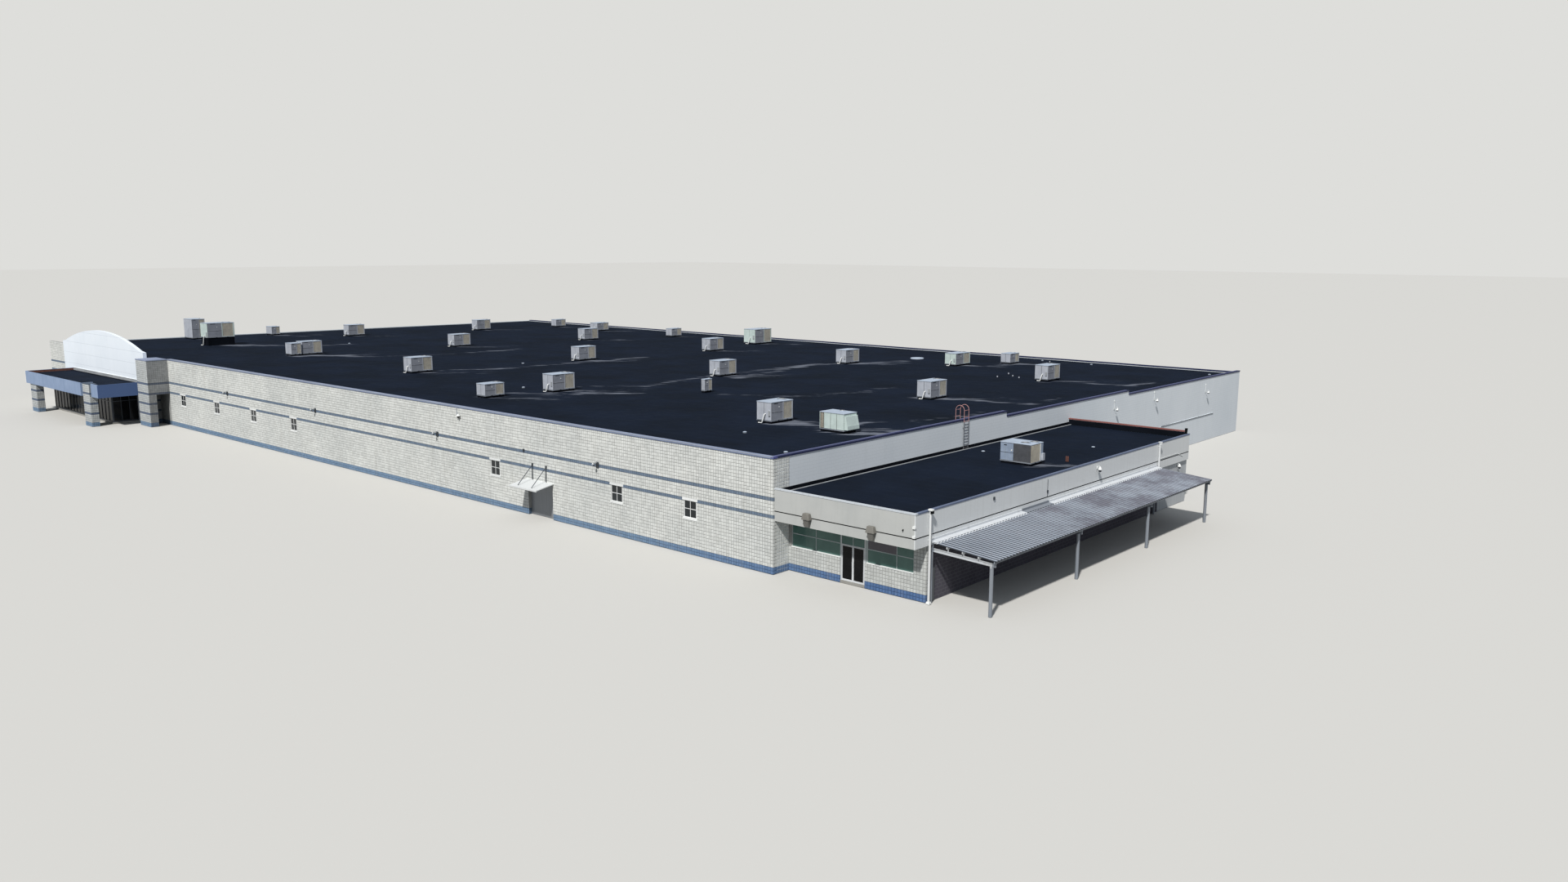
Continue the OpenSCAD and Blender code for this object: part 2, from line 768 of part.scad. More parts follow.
// Low block walls under the annex windows and the piers at both ends of the front.
module annex_low_walls() {
    right_end = group_right_x + group_right_w;
    color("#d9dbd7") from_corner() union() {
        translate([0, annex_set, 0]) cube([door_x, thin_wall_t, sill_z]);
        translate([0, annex_set, 0]) cube([left_pier_w, thin_wall_t, soffit_z]);
        translate([door_x + door_w, annex_set, 0])
            cube([right_end - door_x - door_w, thin_wall_t, sill_z]);
        translate([right_end, annex_set, 0]) cube([annex_w - right_end, thin_wall_t, soffit_z]);
    }
}

// Right side wall of the annex.
module annex_side_wall() {
    color("#a9afb0") from_corner()
        translate([annex_w - thin_wall_t, annex_set + thin_wall_t, 0])
            cube([thin_wall_t, annex_d - annex_set - thin_wall_t, annex_roof_z]);
}

// Back wall of the annex with its higher parapet.
module annex_back_wall() {
    color("#a9afb0") from_corner()
        translate([0, annex_d - thin_wall_t, 0])
            cube([annex_w - thin_wall_t, thin_wall_t, annex_top_z + annex_back_up]);
}

// Fascia on the front and side of the annex, with its reveal and the front soffit.
module annex_fascia() {
    band_h = annex_top_z - soffit_z;
    color("#d5d6d2") from_corner() difference() {
        union() {
            translate([0, annex_fascia_set, soffit_z])
                cube([annex_w + fascia_t, fascia_t, band_h]);
            translate([annex_w, annex_fascia_set, soffit_z])
                cube([fascia_t, annex_d - annex_fascia_set, band_h]);
            translate([0, annex_fascia_set, soffit_z])
                cube([annex_w, annex_set + thin_wall_t - annex_fascia_set, 8]);
        }
        translate([-1, annex_fascia_set - 1, reveal_z])
            cube([annex_w + fascia_t + 2, reveal_d + 1, reveal_h]);
        translate([annex_w + fascia_t - reveal_d, annex_fascia_set - 1, reveal_z])
            cube([reveal_d + 1, annex_d + 2, reveal_h]);
    }
}

// Flat roof deck of the annex.
module annex_roof() {
    color("#202838") from_corner() union() {
        translate([0, annex_fascia_set + fascia_t, annex_roof_z - roof_t])
            cube([annex_w - thin_wall_t, annex_d - thin_wall_t - annex_fascia_set - fascia_t, roof_t]);
        translate([annex_w - thin_wall_t, annex_fascia_set + fascia_t, annex_roof_z - roof_t])
            cube([thin_wall_t, annex_set + thin_wall_t - annex_fascia_set - fascia_t, roof_t]);
    }
}

// Metal coping on the annex fascia and on its back parapet.
module annex_coping() {
    out = coping_out / 2;
    color("#dfe2e4") from_corner() union() {
        translate([seat_gap, annex_fascia_set - out, annex_top_z])
            cube([annex_w + fascia_t + out - seat_gap, fascia_t + 3 * out, coping_h - 1]);
        translate([annex_w - 2 * out, annex_fascia_set + fascia_t + 2 * out, annex_top_z])
            cube([fascia_t + 3 * out, annex_d - annex_fascia_set - fascia_t - 2 * out, coping_h - 1]);
        translate([seat_gap, annex_d - thin_wall_t - out, annex_top_z + annex_back_up])
            cube([annex_w - thin_wall_t - seat_gap, thin_wall_t + 2 * out, coping_h - 1]);
    }
}

// Window and door frames of the annex front.
module annex_storefront() {
    head_z = floor_t + door_h;
    light_w = (door_w - 3 * bar_w) / 2;
    color("#e8e9e6") from_corner() translate([0, annex_set + storefront_back, 0]) union() {
        translate([left_pier_w, 0, 0]) storefront_group(group_left_w);
        translate([group_right_x, 0, 0]) storefront_group(group_right_w);
        translate([door_x, 0, 0]) difference() {
            translate([0, 0, floor_t]) cube([door_w + door_post_w, bar_d, soffit_z - floor_t]);
            translate([bar_w, -1, floor_t - 1]) cube([door_w - 2 * bar_w, bar_d + 2, door_h + 1]);
            for (i = [0, 1])
                translate([bar_w + i * (light_w + bar_w), -1, head_z + bar_w])
                    cube([light_w, bar_d, soffit_z - head_z - 2 * bar_w]);
            translate([bar_w, glass_back, head_z + bar_w])
                cube([door_w - 2 * bar_w, bar_d, soffit_z - head_z - 2 * bar_w]);
            translate([door_w, -1, -1]) cube([door_post_w + 1, bar_d + 2, sill_z + 1]);
        }
    }
}

// One group of two windows over a low wall, each with a transom bar, and its sill.
module storefront_group(width) {
    pane_w = (width - 3 * bar_w) / 2;
    low = sill_z + sill_t;
    difference() {
        union() {
            translate([0, 0, sill_z]) cube([width, bar_d, soffit_z - sill_z]);
            translate([0, -storefront_back * 2, sill_z]) cube([width, storefront_back * 2, sill_t]);
        }
        for (i = [0, 1]) {
            translate([bar_w + i * (pane_w + bar_w), -1, low])
                cube([pane_w, bar_d, transom_z - low]);
            translate([bar_w + i * (pane_w + bar_w), -1, transom_z + bar_w])
                cube([pane_w, bar_d, soffit_z - transom_z - 2 * bar_w]);
        }
        translate([bar_w, glass_back, low]) cube([width - 2 * bar_w, bar_d, soffit_z - bar_w - low]);
    }
}

// Green-tinted sheets of glass behind the bars of the annex front.
module annex_glass() {
    low = sill_z + sill_t;
    head_z = floor_t + door_h + bar_w;
    y = annex_set + storefront_back + glass_back;
    color("#2f5a50") from_corner() {
        for (group = [[left_pier_w, group_left_w], [group_right_x, group_right_w]])
            translate([group[0] + bar_w, y, low])
                cube([group[1] - 2 * bar_w, glass_t, soffit_z - bar_w - low]);
        translate([door_x + bar_w, y, head_z])
            cube([door_w - 2 * bar_w, glass_t, soffit_z - bar_w - head_z]);
    }
}

// Annex door leaf on the left, hinged at its left edge.
module annex_door_left() {
    color("#2a2a2c") from_corner()
        translate([
            door_x + bar_w + leaf_gap + leaf_t / 2, annex_set + storefront_back + leaf_t / 2,
            floor_t + leaf_gap
        ]) glass_leaf(door_w / 2 - bar_w - 1.5 * leaf_gap, door_h - 2 * leaf_gap);
}

// Annex door leaf on the right, hinged at its right edge.
module annex_door_right() {
    color("#2a2a2c") from_corner()
        translate([
            door_x + door_w - bar_w - leaf_gap - leaf_t / 2, annex_set + storefront_back + leaf_t / 2,
            floor_t + leaf_gap
        ]) mirror([1, 0, 0]) glass_leaf(door_w / 2 - bar_w - 1.5 * leaf_gap, door_h - 2 * leaf_gap);
}

// Moves to the canopy's upper corner by the annex and tilts X down the slope.
module on_canopy() {
    translate([canopy_x, canopy_y, canopy_wall_z]) rotate([0, canopy_angle, 0]) children();
}

// Ribbed sheeting of the canopy, one outline of flats and ribs drawn down the slope, and its flashing.
module canopy_roof() {
    pitch = canopy_l / rib_n;
    ribs = [
        for (i = [0:rib_n - 1])
            let (y = i * pitch)
                each [
                    [y + pitch * 0.3, 0], [y + pitch * 0.4, rib_h],
                    [y + pitch * 0.6, rib_h], [y + pitch * 0.7, 0]
                ]
    ];
    color("#a6acb5") from_corner() {
        on_canopy() rotate([90, 0, 90]) linear_extrude(canopy_slope)
            polygon(concat([[0, -sheet_t], [0, 0]], ribs, [[canopy_l, 0], [canopy_l, -sheet_t]]));
        union() {
            translate([canopy_x, canopy_y, canopy_wall_z + rib_h + seat_gap])
                cube([flashing_d, canopy_l, flashing_h - rib_h]);
            on_canopy() translate([0, 0, rib_h + seat_gap]) cube([flashing_w, canopy_l, sheet_t]);
        }
    }
}

// Distance between the purlins' undersides and the rake beams at a distance down the slope.
function rake_gap(x) = stud_h + seat_gap + rake_drop * (1 - x / canopy_slope);

// Purlins under the sheeting, on studs on the rake beams between the inner and outer posts.
module canopy_frame() {
    first = flashing_d + 2;
    pitch = (canopy_slope - purlin_w - first - 4) / (purlin_n - 1);
    purlin_z = -sheet_t - purlin_h;
    start = 5 - inner_post_d / 2;
    color("#b5bfcc") from_corner() on_canopy() {
        for (i = [0:purlin_n - 1])
            translate([first + i * pitch, 0, purlin_z]) cube([purlin_w, canopy_l, purlin_h]);
        for (j = [0:post_n - 1]) {
            translate([start, post_y(j) - canopy_y, purlin_z - rake_gap(start)])
                rotate([0, -rake_angle, 0]) rake_beam(canopy_slope - start - 4);
            for (i = [0:purlin_n - 1])
                let (x = first + i * pitch, h = rake_gap(x + purlin_w) - 2 * seat_gap)
                    translate([x, post_y(j) - canopy_y - purlin_w / 2, purlin_z - seat_gap - h])
                        cube([purlin_w, purlin_w, h]);
        }
    }
}

// A rake beam with two flanges and a web, its top at Z = 0, centred on Y = 0.
module rake_beam(length) {
    flange_t = 3;
    union() {
        for (z = [-flange_t, -beam_h])
            translate([0, -beam_w / 2, z]) cube([length, beam_w, flange_t]);
        translate([0, -beam_w / 6, -beam_h]) cube([length, beam_w / 3, beam_h]);
    }
}

// Distance of a canopy post from the front wall line.
function post_y(i) = canopy_y + post_end + i * (canopy_l - 2 * post_end) / (post_n - 1);

// Height of the underside of the rake beams at a distance from the canopy's upper edge.
function beam_z(x) = canopy_wall_z - canopy_fall * x / canopy_w
    - (sheet_t + purlin_h + rake_gap(x / cos(canopy_angle)) + beam_h) / cos(canopy_angle);

// Outer posts of the canopy, the two end posts by the annex and the two lamp poles at its ends.
module canopy_posts() {
    outer = canopy_w - post_in;
    pole_x = lamp_pole_d / 2 + coping_out;
    color("#b5bfcc") from_corner() translate([canopy_x, 0, 0]) {
        for (i = [0:post_n - 1])
            translate([outer, post_y(i), 0])
                cylinder(h = beam_z(outer + post_dia / 2) - seat_gap, d = post_dia, $fn = 32);
        for (i = [0, post_n - 1])
            translate([1, post_y(i), 0])
                cylinder(h = beam_z(1 + inner_post_d / 2) - seat_gap, d = inner_post_d, $fn = 32);
        translate([pole_x, canopy_y - 15, 0]) lamp_pole(0);
        translate([pole_x, canopy_y + canopy_l + 15, 0])
            lamp_pole(canopy_wall_z - flashing_h);
    }
}

// A slim pole beside the annex fascia with two straps, a cap and a floodlight, from low upwards.
module lamp_pole(low) {
    top = annex_top_z + 15;
    strap_l = lamp_pole_d / 2 + coping_out + seat_gap;
    union() {
        translate([0, 0, low]) cylinder(h = top - low, d = lamp_pole_d, $fn = 32);
        for (z = [soffit_z + 30, annex_top_z - 20])
            translate([-strap_l, -2, z]) cube([strap_l, 4, 4]);
        translate([-9, -9, top - 6]) cube([24, 18, 6]);
        translate([lamp_pole_d / 2 - 1, -8, top - 20]) cube([9, 16, 15]);
    }
}

// A rooftop air unit with its corner nearest the front and the right at the origin: a curb cut to
// the roof's fall, a base rail with fork slots, a cabinet with a coil recess, a lid and fan rings.
module roof_unit(w, l, h, base = curb_h, fans = 1, coil = true, fall = roof_fall / main_d) {
    rail_h = 7;
    lid_h = 5;
    inset = 5;
    fan_d = min(w, l / (fans + 1)) * 0.62;
    difference() {
        union() {
            side_profile(w - inset, w - 2 * inset, [
                [inset, -fall * inset], [l - inset, -fall * (l - inset)],
                [l - inset, base + 1], [inset, base + 1]
            ]);
            translate([-w, 0, base]) cube([w, l, rail_h]);
            translate([1.5 - w, 1.5, base]) cube([w - 3, l - 3, h - base]);
            translate([-w, 0, h - lid_h]) cube([w, l, lid_h]);
            for (i = [0:fans - 1])
                translate([-w / 2, l - (0.63 + i * 1.15) * fan_d, h - 1])
                    cylinder(h = 4, d = fan_d, $fn = 32);
        }
        for (i = [0:fans - 1])
            translate([-w / 2, l - (0.63 + i * 1.15) * fan_d, h - 3])
                cylinder(h = 8, d = fan_d - 5, $fn = 32);
        if (coil)
            translate([-4.5, l * 0.56, base + rail_h + 4])
                cube([5, l * 0.38, h - base - rail_h - lid_h - 8]);
        for (y = [l * 0.3, l * 0.7])
            translate([-w - 1, y, base + 1.5]) cube([w + 2, 16, 4]);
    }
}

// Places what follows at a distance to the left of the near corner and behind the front wall.
module on_roof(x, y) {
    translate([-x, y, roof_z(y) + curb_seat]) children();
}

// Places of the standard units: distance to the left of the near corner, then behind the front.
unit_places = [
    [1060, 1170], [1020, 3070], [1010, 4990],
    [3560, 1230], [3450, 3110], [3380, 4960],
    [5710, 1220], [5610, 3170], [5490, 5040],
    [tower_x - 40, 1410], [tower_x - 200, 3240], [tower_x - 440, 5060],
    [arch_left - 340, 3210], [arch_left - 500, 5130]
];
// Places of the small units.
small_places = [
    [3630, 610], [arch_left - 660, main_d - 660], [tower_x - 770, main_d - 780], [2140, main_d - 860]
];
// Places of the round vents with wide caps.
vent_places = [
    [tower_x + 1090, 2580], [5780, 2560], [4010, 1260], [3200, main_d - 1080],
    [2100, main_d - 230], [1490, main_d - 270], [160, main_d - 380]
];
// Places of the thin vent pipes.
pipe_places = [[1950, main_d - 340], [1620, 5320], [1550, 4990], [1480, 5160], [1360, 5070]];
// Places of the vent pipes on the annex roof: distance from the main block, then behind the front.
annex_pipe_places = [[annex_w - 184, 2010], [annex_w - 196, 2010], [annex_w - 263, 2520], [140, 1970]];

// Standard rooftop units and the larger ones.
module large_roof_units() {
    color("#c4c8d0") from_corner() union() {
        for (p = unit_places) on_roof(p[0], p[1]) roof_unit(unit_w, unit_l, unit_h);
        on_roof(tower_x - 50, 1280) roof_unit(unit_w, unit_l / 2, unit_h - 12);
        on_roof(arch_left - 690, 1210) roof_unit(194, 326, 271, curb_h * 6, 2);
        on_roof(main_w - 460, 1490) roof_unit(248, 164, 260);
        on_roof(main_w - 420, 2540) roof_unit(166, 113, 119);
        on_roof(tower_x + 800, main_d - 790) roof_unit(167, 217, 121);
        on_roof(5840, main_d - 890) roof_unit(200, 314, 192, curb_h, 2);
        on_roof(2430, 5620) roof_unit(unit_w, unit_l * 1.2, 136);
        on_roof(420, 1170) hooded_unit(209, unit_w, 134);
    }
}

// A unit with a wedge-shaped rain hood on its right face, wide at its foot.
module hooded_unit(w, l, h) {
    union() {
        roof_unit(w, l, h, coil = false);
        side_profile_y(6, l - 12, [
            [-2, curb_h + 10], [26, curb_h + 10], [22, h * 0.4], [8, h * 0.86], [-2, h * 0.86]
        ]);
    }
}

// A plate that runs along Y with its outline drawn in the X and Z plane.
module side_profile_y(south, length, points) {
    translate([0, south + length, 0]) rotate([90, 0, 0]) linear_extrude(length) polygon(points);
}

// Small units, the thin upright unit, the annex unit, the round vents and the pipes.
module small_roof_units() {
    vent_d = 24;
    cap_d = 40;
    pipe_d = 12;
    color("#c4c8d0") from_corner() union() {
        for (p = small_places) on_roof(p[0], p[1]) roof_unit(small_w, small_l, small_h);
        on_roof(2650, 2110) roof_unit(44, 88, 117);
        for (p = vent_places)
            translate([-p[0], p[1], roof_z(p[1] - vent_d / 2) + curb_seat]) {
                cylinder(h = 16, d = vent_d, $fn = 32);
                translate([0, 0, 15]) cylinder(h = 10, d = cap_d, $fn = 32);
            }
        for (p = pipe_places)
            translate([-p[0], p[1], roof_z(p[1] - pipe_d / 2) + curb_seat]) cylinder(h = 32, d = pipe_d, $fn = 32);
        for (p = annex_pipe_places)
            translate([p[0], p[1], annex_roof_z + curb_seat]) cylinder(h = 38, d = pipe_d * 0.8, $fn = 32);
        translate([annex_w - 280, 1700, annex_roof_z + curb_seat]) roof_unit(226, 157, 141, curb_h, 1, true, 0);
    }
}

// Ladder from the annex roof to the main roof, with a hooped handrail over the parapet.
module roof_ladder() {
    low = annex_roof_z;
    top = wall_h + coping_h + 4;
    hoop_z = top + 35;
    reach = 20;
    stand = coping_out + rail_dia;
    far = -2 * reach - stand;
    rungs = 9;
    rung_pitch = (top - low - 10) / rungs;
    color("#a8a9a8") from_corner() translate([0, ladder_y, 0]) union() {
        for (s = [0, 1]) {
            rod([stand, s * ladder_w, low], [stand, s * ladder_w, hoop_z], rail_dia);
            translate([-reach, s * ladder_w, hoop_z]) rotate([90, 0, 0])
                rotate_extrude(angle = 180, $fn = 32) translate([reach + stand, 0])
                    circle(d = rail_dia, $fn = 16);
            rod([far, s * ladder_w, hoop_z], [far, s * ladder_w, roof_z(ladder_y - rail_dia)], rail_dia);
        }
        for (i = [0:rungs - 1])
            translate([stand, 0, low + 10 + i * rung_pitch])
                rod([0, 0, 0], [0, ladder_w, 0], rail_dia * 0.8);
    }
}

// A lamp on a bent arm that faces the front: wall plate, arm in two arcs and a round shade.
module arm_light() {
    arm_d = 3;
    bend = light_arm / 4;
    shade_d = 16;
    union() {
        translate([-5, -3, -8]) cube([10, 3, 16]);
        rod([0, -2, 0], [0, -bend, 0], arm_d);
        translate([0, -bend, bend]) rotate([90, 0, 90]) rotate([0, 0, 180])
            rotate_extrude(angle = 90, $fn = 32) translate([bend, 0]) circle(d = arm_d, $fn = 16);
        translate([0, -3 * bend, bend]) rotate([90, 0, 90])
            rotate_extrude(angle = 180, $fn = 32) translate([bend, 0]) circle(d = arm_d, $fn = 16);
        translate([0, -light_arm, bend - 8]) cylinder(h = 9, d1 = shade_d, d2 = 5, $fn = 32);
    }
}

// A wall box light: a flat lamp body with a sloping hood above it.
module box_light() {
    union() {
        translate([-13, -16, 16]) cube([26, 16, 14]);
        translate([-11, -22, 0]) cube([22, 22, 18]);
    }
}

// Distances of the front wall's arm lights from the near corner, and their height.
front_lights = [1520, 3370, tower_x - 3040, tower_x - 1350];
front_light_z = 438;
// Distances of the side wall's arm lights from the front, with their heights.
side_lights = [[4270, 515], [5060, 515], [main_d - 870, 480]];

// Lights on the front wall, the side wall and the annex.
module wall_lights() {
    color("#2c2e30") from_corner() {
        for (x = front_lights) translate([-x, 0, front_light_z]) arm_light();
        for (p = side_lights) translate([0, p[0], p[1]]) rotate([0, 0, 90]) arm_light();
        for (x = [group_left_w * 0.7, group_right_x + 131])
            translate([x, annex_fascia_set, soffit_z + 39]) box_light();
    }
}

main_floor();
front_wall_left();
front_wall_over_recess();
front_wall_right();
door_recess();
service_door();
door_awning();
awning_rods();
window_frames();
window_glass();
side_wall();
back_wall();
party_wall();
front_wall_end();
entrance_wall();
arch_gable();
entrance_tower();
main_roof();
parapet_copings();
entrance_floor();
portico_roof();
portico_fascia();
portico_columns();
vestibule_frame();
vestibule_glass();
entrance_door_left();
entrance_door_right();
annex_floor();
annex_low_walls();
annex_side_wall();
annex_back_wall();
annex_fascia();
annex_roof();
annex_coping();
annex_storefront();
annex_glass();
annex_door_left();
annex_door_right();
canopy_roof();
canopy_frame();
canopy_posts();
large_roof_units();
small_roof_units();
roof_ladder();
wall_lights();
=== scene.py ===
"""Supermarket building at 1:10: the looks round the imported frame, in metres, in the same frame."""
import logging
import math
from contextlib import contextmanager
from dataclasses import dataclass, field, replace
from enum import Enum
from typing import Callable, Iterator, Sequence

import bmesh
import bpy
from mathutils import Matrix, Vector, noise


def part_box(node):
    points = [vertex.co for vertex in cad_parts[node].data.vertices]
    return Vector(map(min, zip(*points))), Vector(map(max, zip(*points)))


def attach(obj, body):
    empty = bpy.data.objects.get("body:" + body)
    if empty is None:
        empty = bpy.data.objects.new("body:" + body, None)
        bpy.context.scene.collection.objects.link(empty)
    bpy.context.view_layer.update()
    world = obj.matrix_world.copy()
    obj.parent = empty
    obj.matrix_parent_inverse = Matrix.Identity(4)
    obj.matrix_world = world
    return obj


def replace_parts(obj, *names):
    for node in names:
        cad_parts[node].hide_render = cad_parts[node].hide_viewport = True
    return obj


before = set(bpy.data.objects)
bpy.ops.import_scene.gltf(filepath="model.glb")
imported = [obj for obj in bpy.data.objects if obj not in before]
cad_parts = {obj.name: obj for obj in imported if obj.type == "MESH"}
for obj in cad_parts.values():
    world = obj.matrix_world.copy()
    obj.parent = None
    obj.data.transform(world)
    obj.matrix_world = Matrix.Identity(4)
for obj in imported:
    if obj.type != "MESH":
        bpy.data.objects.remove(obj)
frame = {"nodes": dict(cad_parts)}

LOG = logging.getLogger("supermarket")
MM = 0.001
# Building sizes in model millimetres; a course is one block high.
COURSE = 20.32
WALL_COURSES = 33
WALL_TOP = COURSE * WALL_COURSES
MAIN_DEPTH = 7100.0
ROOF_DROP = 38.0
ROOF_FALL = 48.0
ANNEX_DECK = 471.0
ANNEX_FACE = 137.0
ANNEX_RIGHT = 950.0
ANNEX_ROOF_FRONT, ANNEX_ROOF_BACK = 26.0, 3478.0
WINDOWS = (670.0, 1340.0, 2650.0, 5640.0, 6410.0, 7180.0, 7950.0)
WINDOW_WIDTH = 110.0
# The near corner of the main block in the row frame, in metres.
CORNER = Vector((5.875, -3.55, 0.0))
FAR = 30000.0
Pair = tuple[float, float]
Place = tuple[float, float, float]
Quad = tuple[float, float, float, float]
Part = bpy.types.Object
Socket = bpy.types.NodeSocket
Tree = bpy.types.NodeTree


class Side(Enum):
    """The way that a face looks."""

    FRONT = (0.0, -1.0, 0.0)
    RIGHT = (1.0, 0.0, 0.0)
    BACK = (0.0, 1.0, 0.0)
    LEFT = (-1.0, 0.0, 0.0)
    TOP = (0.0, 0.0, 1.0)
    BOTTOM = (0.0, 0.0, -1.0)

    @property
    def turn(self) -> float:
        """Degrees about Z from a face that looks to the front."""
        return math.degrees(math.atan2(self.value[1], self.value[0])) + 90.0

    def faces(self, normal: Vector) -> bool:
        """Says whether a face with this normal looks this way."""
        return normal.dot(Vector(self.value)) > 0.9


FRONT, RIGHT, BACK, LEFT, TOP, BOTTOM = Side


def spot(x: float, y: float, z: float) -> Vector:
    """Turns building millimetres into the row frame.

    Args:
        x: Millimetres to the right of the near corner, negative along the front wall.
        y: Millimetres behind the front wall's face.
        z: Millimetres above the ground.

    Returns:
        The point in metres.
    """
    return CORNER + Vector((x, y, z)) * MM


def roof_height(y: float) -> float:
    """Height in millimetres of the main roof at y millimetres behind the front face."""
    return WALL_TOP - ROOF_DROP - ROOF_FALL * y / MAIN_DEPTH


def linear(code: str) -> Quad:
    """Turns an sRGB hex code into linear red, green and blue, with a full alpha."""
    parts = [int(code[i:i + 2], 16) / 255 for i in (1, 3, 5)]
    red, green, blue = (c / 12.92 if c <= 0.04045 else ((c + 0.055) / 1.055) ** 2.4 for c in parts)
    return red, green, blue, 1.0


def add(tree: Tree, kind: str, inputs: dict | None = None, **settings: object) -> bpy.types.Node:
    """Adds a shader node with its settings and links.

    Args:
        tree: The node tree.
        kind: The node's type, without its usual start.
        inputs: By input name or number: a value, a socket, or a node, whose first output it takes.
        settings: Attributes of the node.

    Returns:
        The node.
    """
    made = tree.nodes.new("ShaderNode" + kind)
    for key, value in settings.items():
        setattr(made, key, value)
    for key, value in (inputs or {}).items():
        source = value.outputs[0] if isinstance(value, bpy.types.Node) else value
        if isinstance(source, Socket):
            tree.links.new(source, made.inputs[key])
        else:
            made.inputs[key].default_value = source
    return made


def ramp(node: bpy.types.Node, stops: Sequence[tuple[float, tuple]], constant: bool = False) -> None:
    """Sets the stops of a colour ramp.

    Args:
        node: The ramp node.
        stops: Positions and linear colours in rising order.
        constant: True for hard steps.
    """
    bar = node.color_ramp
    bar.interpolation = "CONSTANT" if constant else "LINEAR"
    while len(bar.elements) < len(stops):
        bar.elements.new(1.0)
    for element, (position, colour) in zip(bar.elements, stops):
        element.position = position
        element.color = colour


@dataclass(frozen=True)
class Zone:
    """A box-shaped part of a surface in another colour, with its bounds in building millimetres."""

    colour: str
    x: Pair = (-FAR, FAR)
    y: Pair = (-FAR, FAR)
    z: Pair = (-FAR, FAR)

    def share(self, tree: Tree, split: bpy.types.Node) -> Socket:
        """Builds a mask that is one inside the zone.

        Args:
            tree: The node tree.
            split: The node that gives X, Y and Z apart.

        Returns:
            The mask's socket.
        """
        made = None
        for axis, (low, high), start in zip("XYZ", (self.x, self.y, self.z), CORNER):
            if high - low >= 2 * FAR:
                continue
            near = add(tree, "Math", {0: split.outputs[axis], 1: start + (low + high) / 2 * MM,
                2: (high - low) / 2 * MM}, operation="COMPARE").outputs[0]
            made = near if made is None else add(tree, "Math", {0: made, 1: near}, operation="MULTIPLY").outputs[0]
        return made


@dataclass(frozen=True)
class Surface:
    """A finish that makes its node material once, under its own name."""

    name: str
    colour: str

    def wire(self, tree: Tree, shader: bpy.types.Node, point: Socket) -> None:
        """Wires the shader; each kind of finish does this its own way."""

    def like(self, name: str, colour: str, shade: str, stain: str, **changes: object) -> "Finish":
        """Gives the same finish under another name, in other colours and with other settings."""
        return replace(self, name=name, colour=colour, shade=shade, stain=stain, **changes)

    def build(self) -> bpy.types.Material:
        """Makes the material once and returns it."""
        known = bpy.data.materials.get(self.name)
        if known:
            return known
        material = bpy.data.materials.new(self.name)
        material.use_nodes = True
        tree = material.node_tree
        self.wire(tree, tree.nodes["Principled BSDF"], add(tree, "TexCoord").outputs["Object"])
        return material


@dataclass(frozen=True)
class Finish(Surface):
    """A painted or bare surface with soft colour clouds, streaks of dirt and a fine grain.

    Fields hold sRGB hex colours, sizes in model millimetres and shares from 0 to 1.
    """

    shade: str
    stain: str
    roughness: float = 0.6
    metallic: float = 0.0
    cloud_mm: float = 400.0
    streak_mm: float = 30.0
    stain_share: float = 0.2
    grain_mm: float = 4.0
    bump: float = 0.15
    coat: float = 0.0
    specular: float = 0.35
    zones: tuple[Zone, ...] = ()

    def base(self, tree: Tree, point: Socket) -> Socket:
        """Mixes the clean colour and its shade by a soft cloud.

        Args:
            tree: The node tree.
            point: Object coordinates.

        Returns:
            The colour socket.
        """
        cloud = add(tree, "TexNoise", {"Vector": point, "Scale": 1 / (self.cloud_mm * MM), "Detail": 5.0,
            "Roughness": 0.6})
        tint = add(tree, "ValToRGB", {"Fac": cloud.outputs["Fac"]})
        ramp(tint, [(0.3, linear(self.shade)), (0.62, linear(self.colour))])
        return tint.outputs["Color"]

    def zoned(self, tree: Tree, point: Socket, colour: Socket) -> Socket:
        """Lays the zones' colours over a colour.

        Args:
            tree: The node tree.
            point: Object coordinates.
            colour: The colour outside the zones.

        Returns:
            The colour socket.
        """
        split = add(tree, "SeparateXYZ", {"Vector": point})
        for zone in self.zones:
            colour = add(tree, "Mix", {"Factor": zone.share(tree, split), 6: colour, 7: linear(zone.colour)},
                data_type="RGBA").outputs[2]
        return colour

    def wire(self, tree: Tree, shader: bpy.types.Node, point: Socket) -> None:
        """Wires the shader to the finish's patterns.

        Args:
            tree: The node tree.
            shader: The material's shader.
            point: Object coordinates.
        """
        colour = self.base(tree, point)
        if self.zones:
            colour = self.zoned(tree, point, colour)
        stretched = add(tree, "Mapping", {"Vector": point, "Scale": (1.0, 1.0, 0.07)})
        streak = add(tree, "TexNoise", {"Vector": stretched.outputs["Vector"], "Scale": 1 / (self.streak_mm * MM),
            "Detail": 4.0})
        amount = add(tree, "MapRange", {"Value": streak.outputs["Fac"], "From Min": 0.52, "From Max": 0.8,
            "To Max": self.stain_share})
        dirty = add(tree, "Mix", {"Factor": amount.outputs["Result"], 6: colour, 7: linear(self.stain)},
            data_type="RGBA")
        tree.links.new(dirty.outputs[2], shader.inputs["Base Color"])
        grain = add(tree, "TexNoise", {"Vector": point, "Scale": 1 / (self.grain_mm * MM), "Detail": 3.0})
        relief = add(tree, "Bump", {"Height": grain.outputs["Fac"], "Strength": self.bump,
            "Distance": self.grain_mm * MM * 0.3})
        tree.links.new(relief.outputs["Normal"], shader.inputs["Normal"])
        rough = add(tree, "MapRange", {"Value": streak.outputs["Fac"], "From Min": 0.3, "From Max": 0.7,
            "To Min": max(self.roughness - 0.08, 0.02), "To Max": min(self.roughness + 0.08, 1.0)})
        tree.links.new(rough.outputs["Result"], shader.inputs["Roughness"])
        shader.inputs["Metallic"].default_value = self.metallic
        shader.inputs["Coat Weight"].default_value = self.coat
        if not self.metallic:
            shader.inputs["Specular IOR Level"].default_value = self.specular


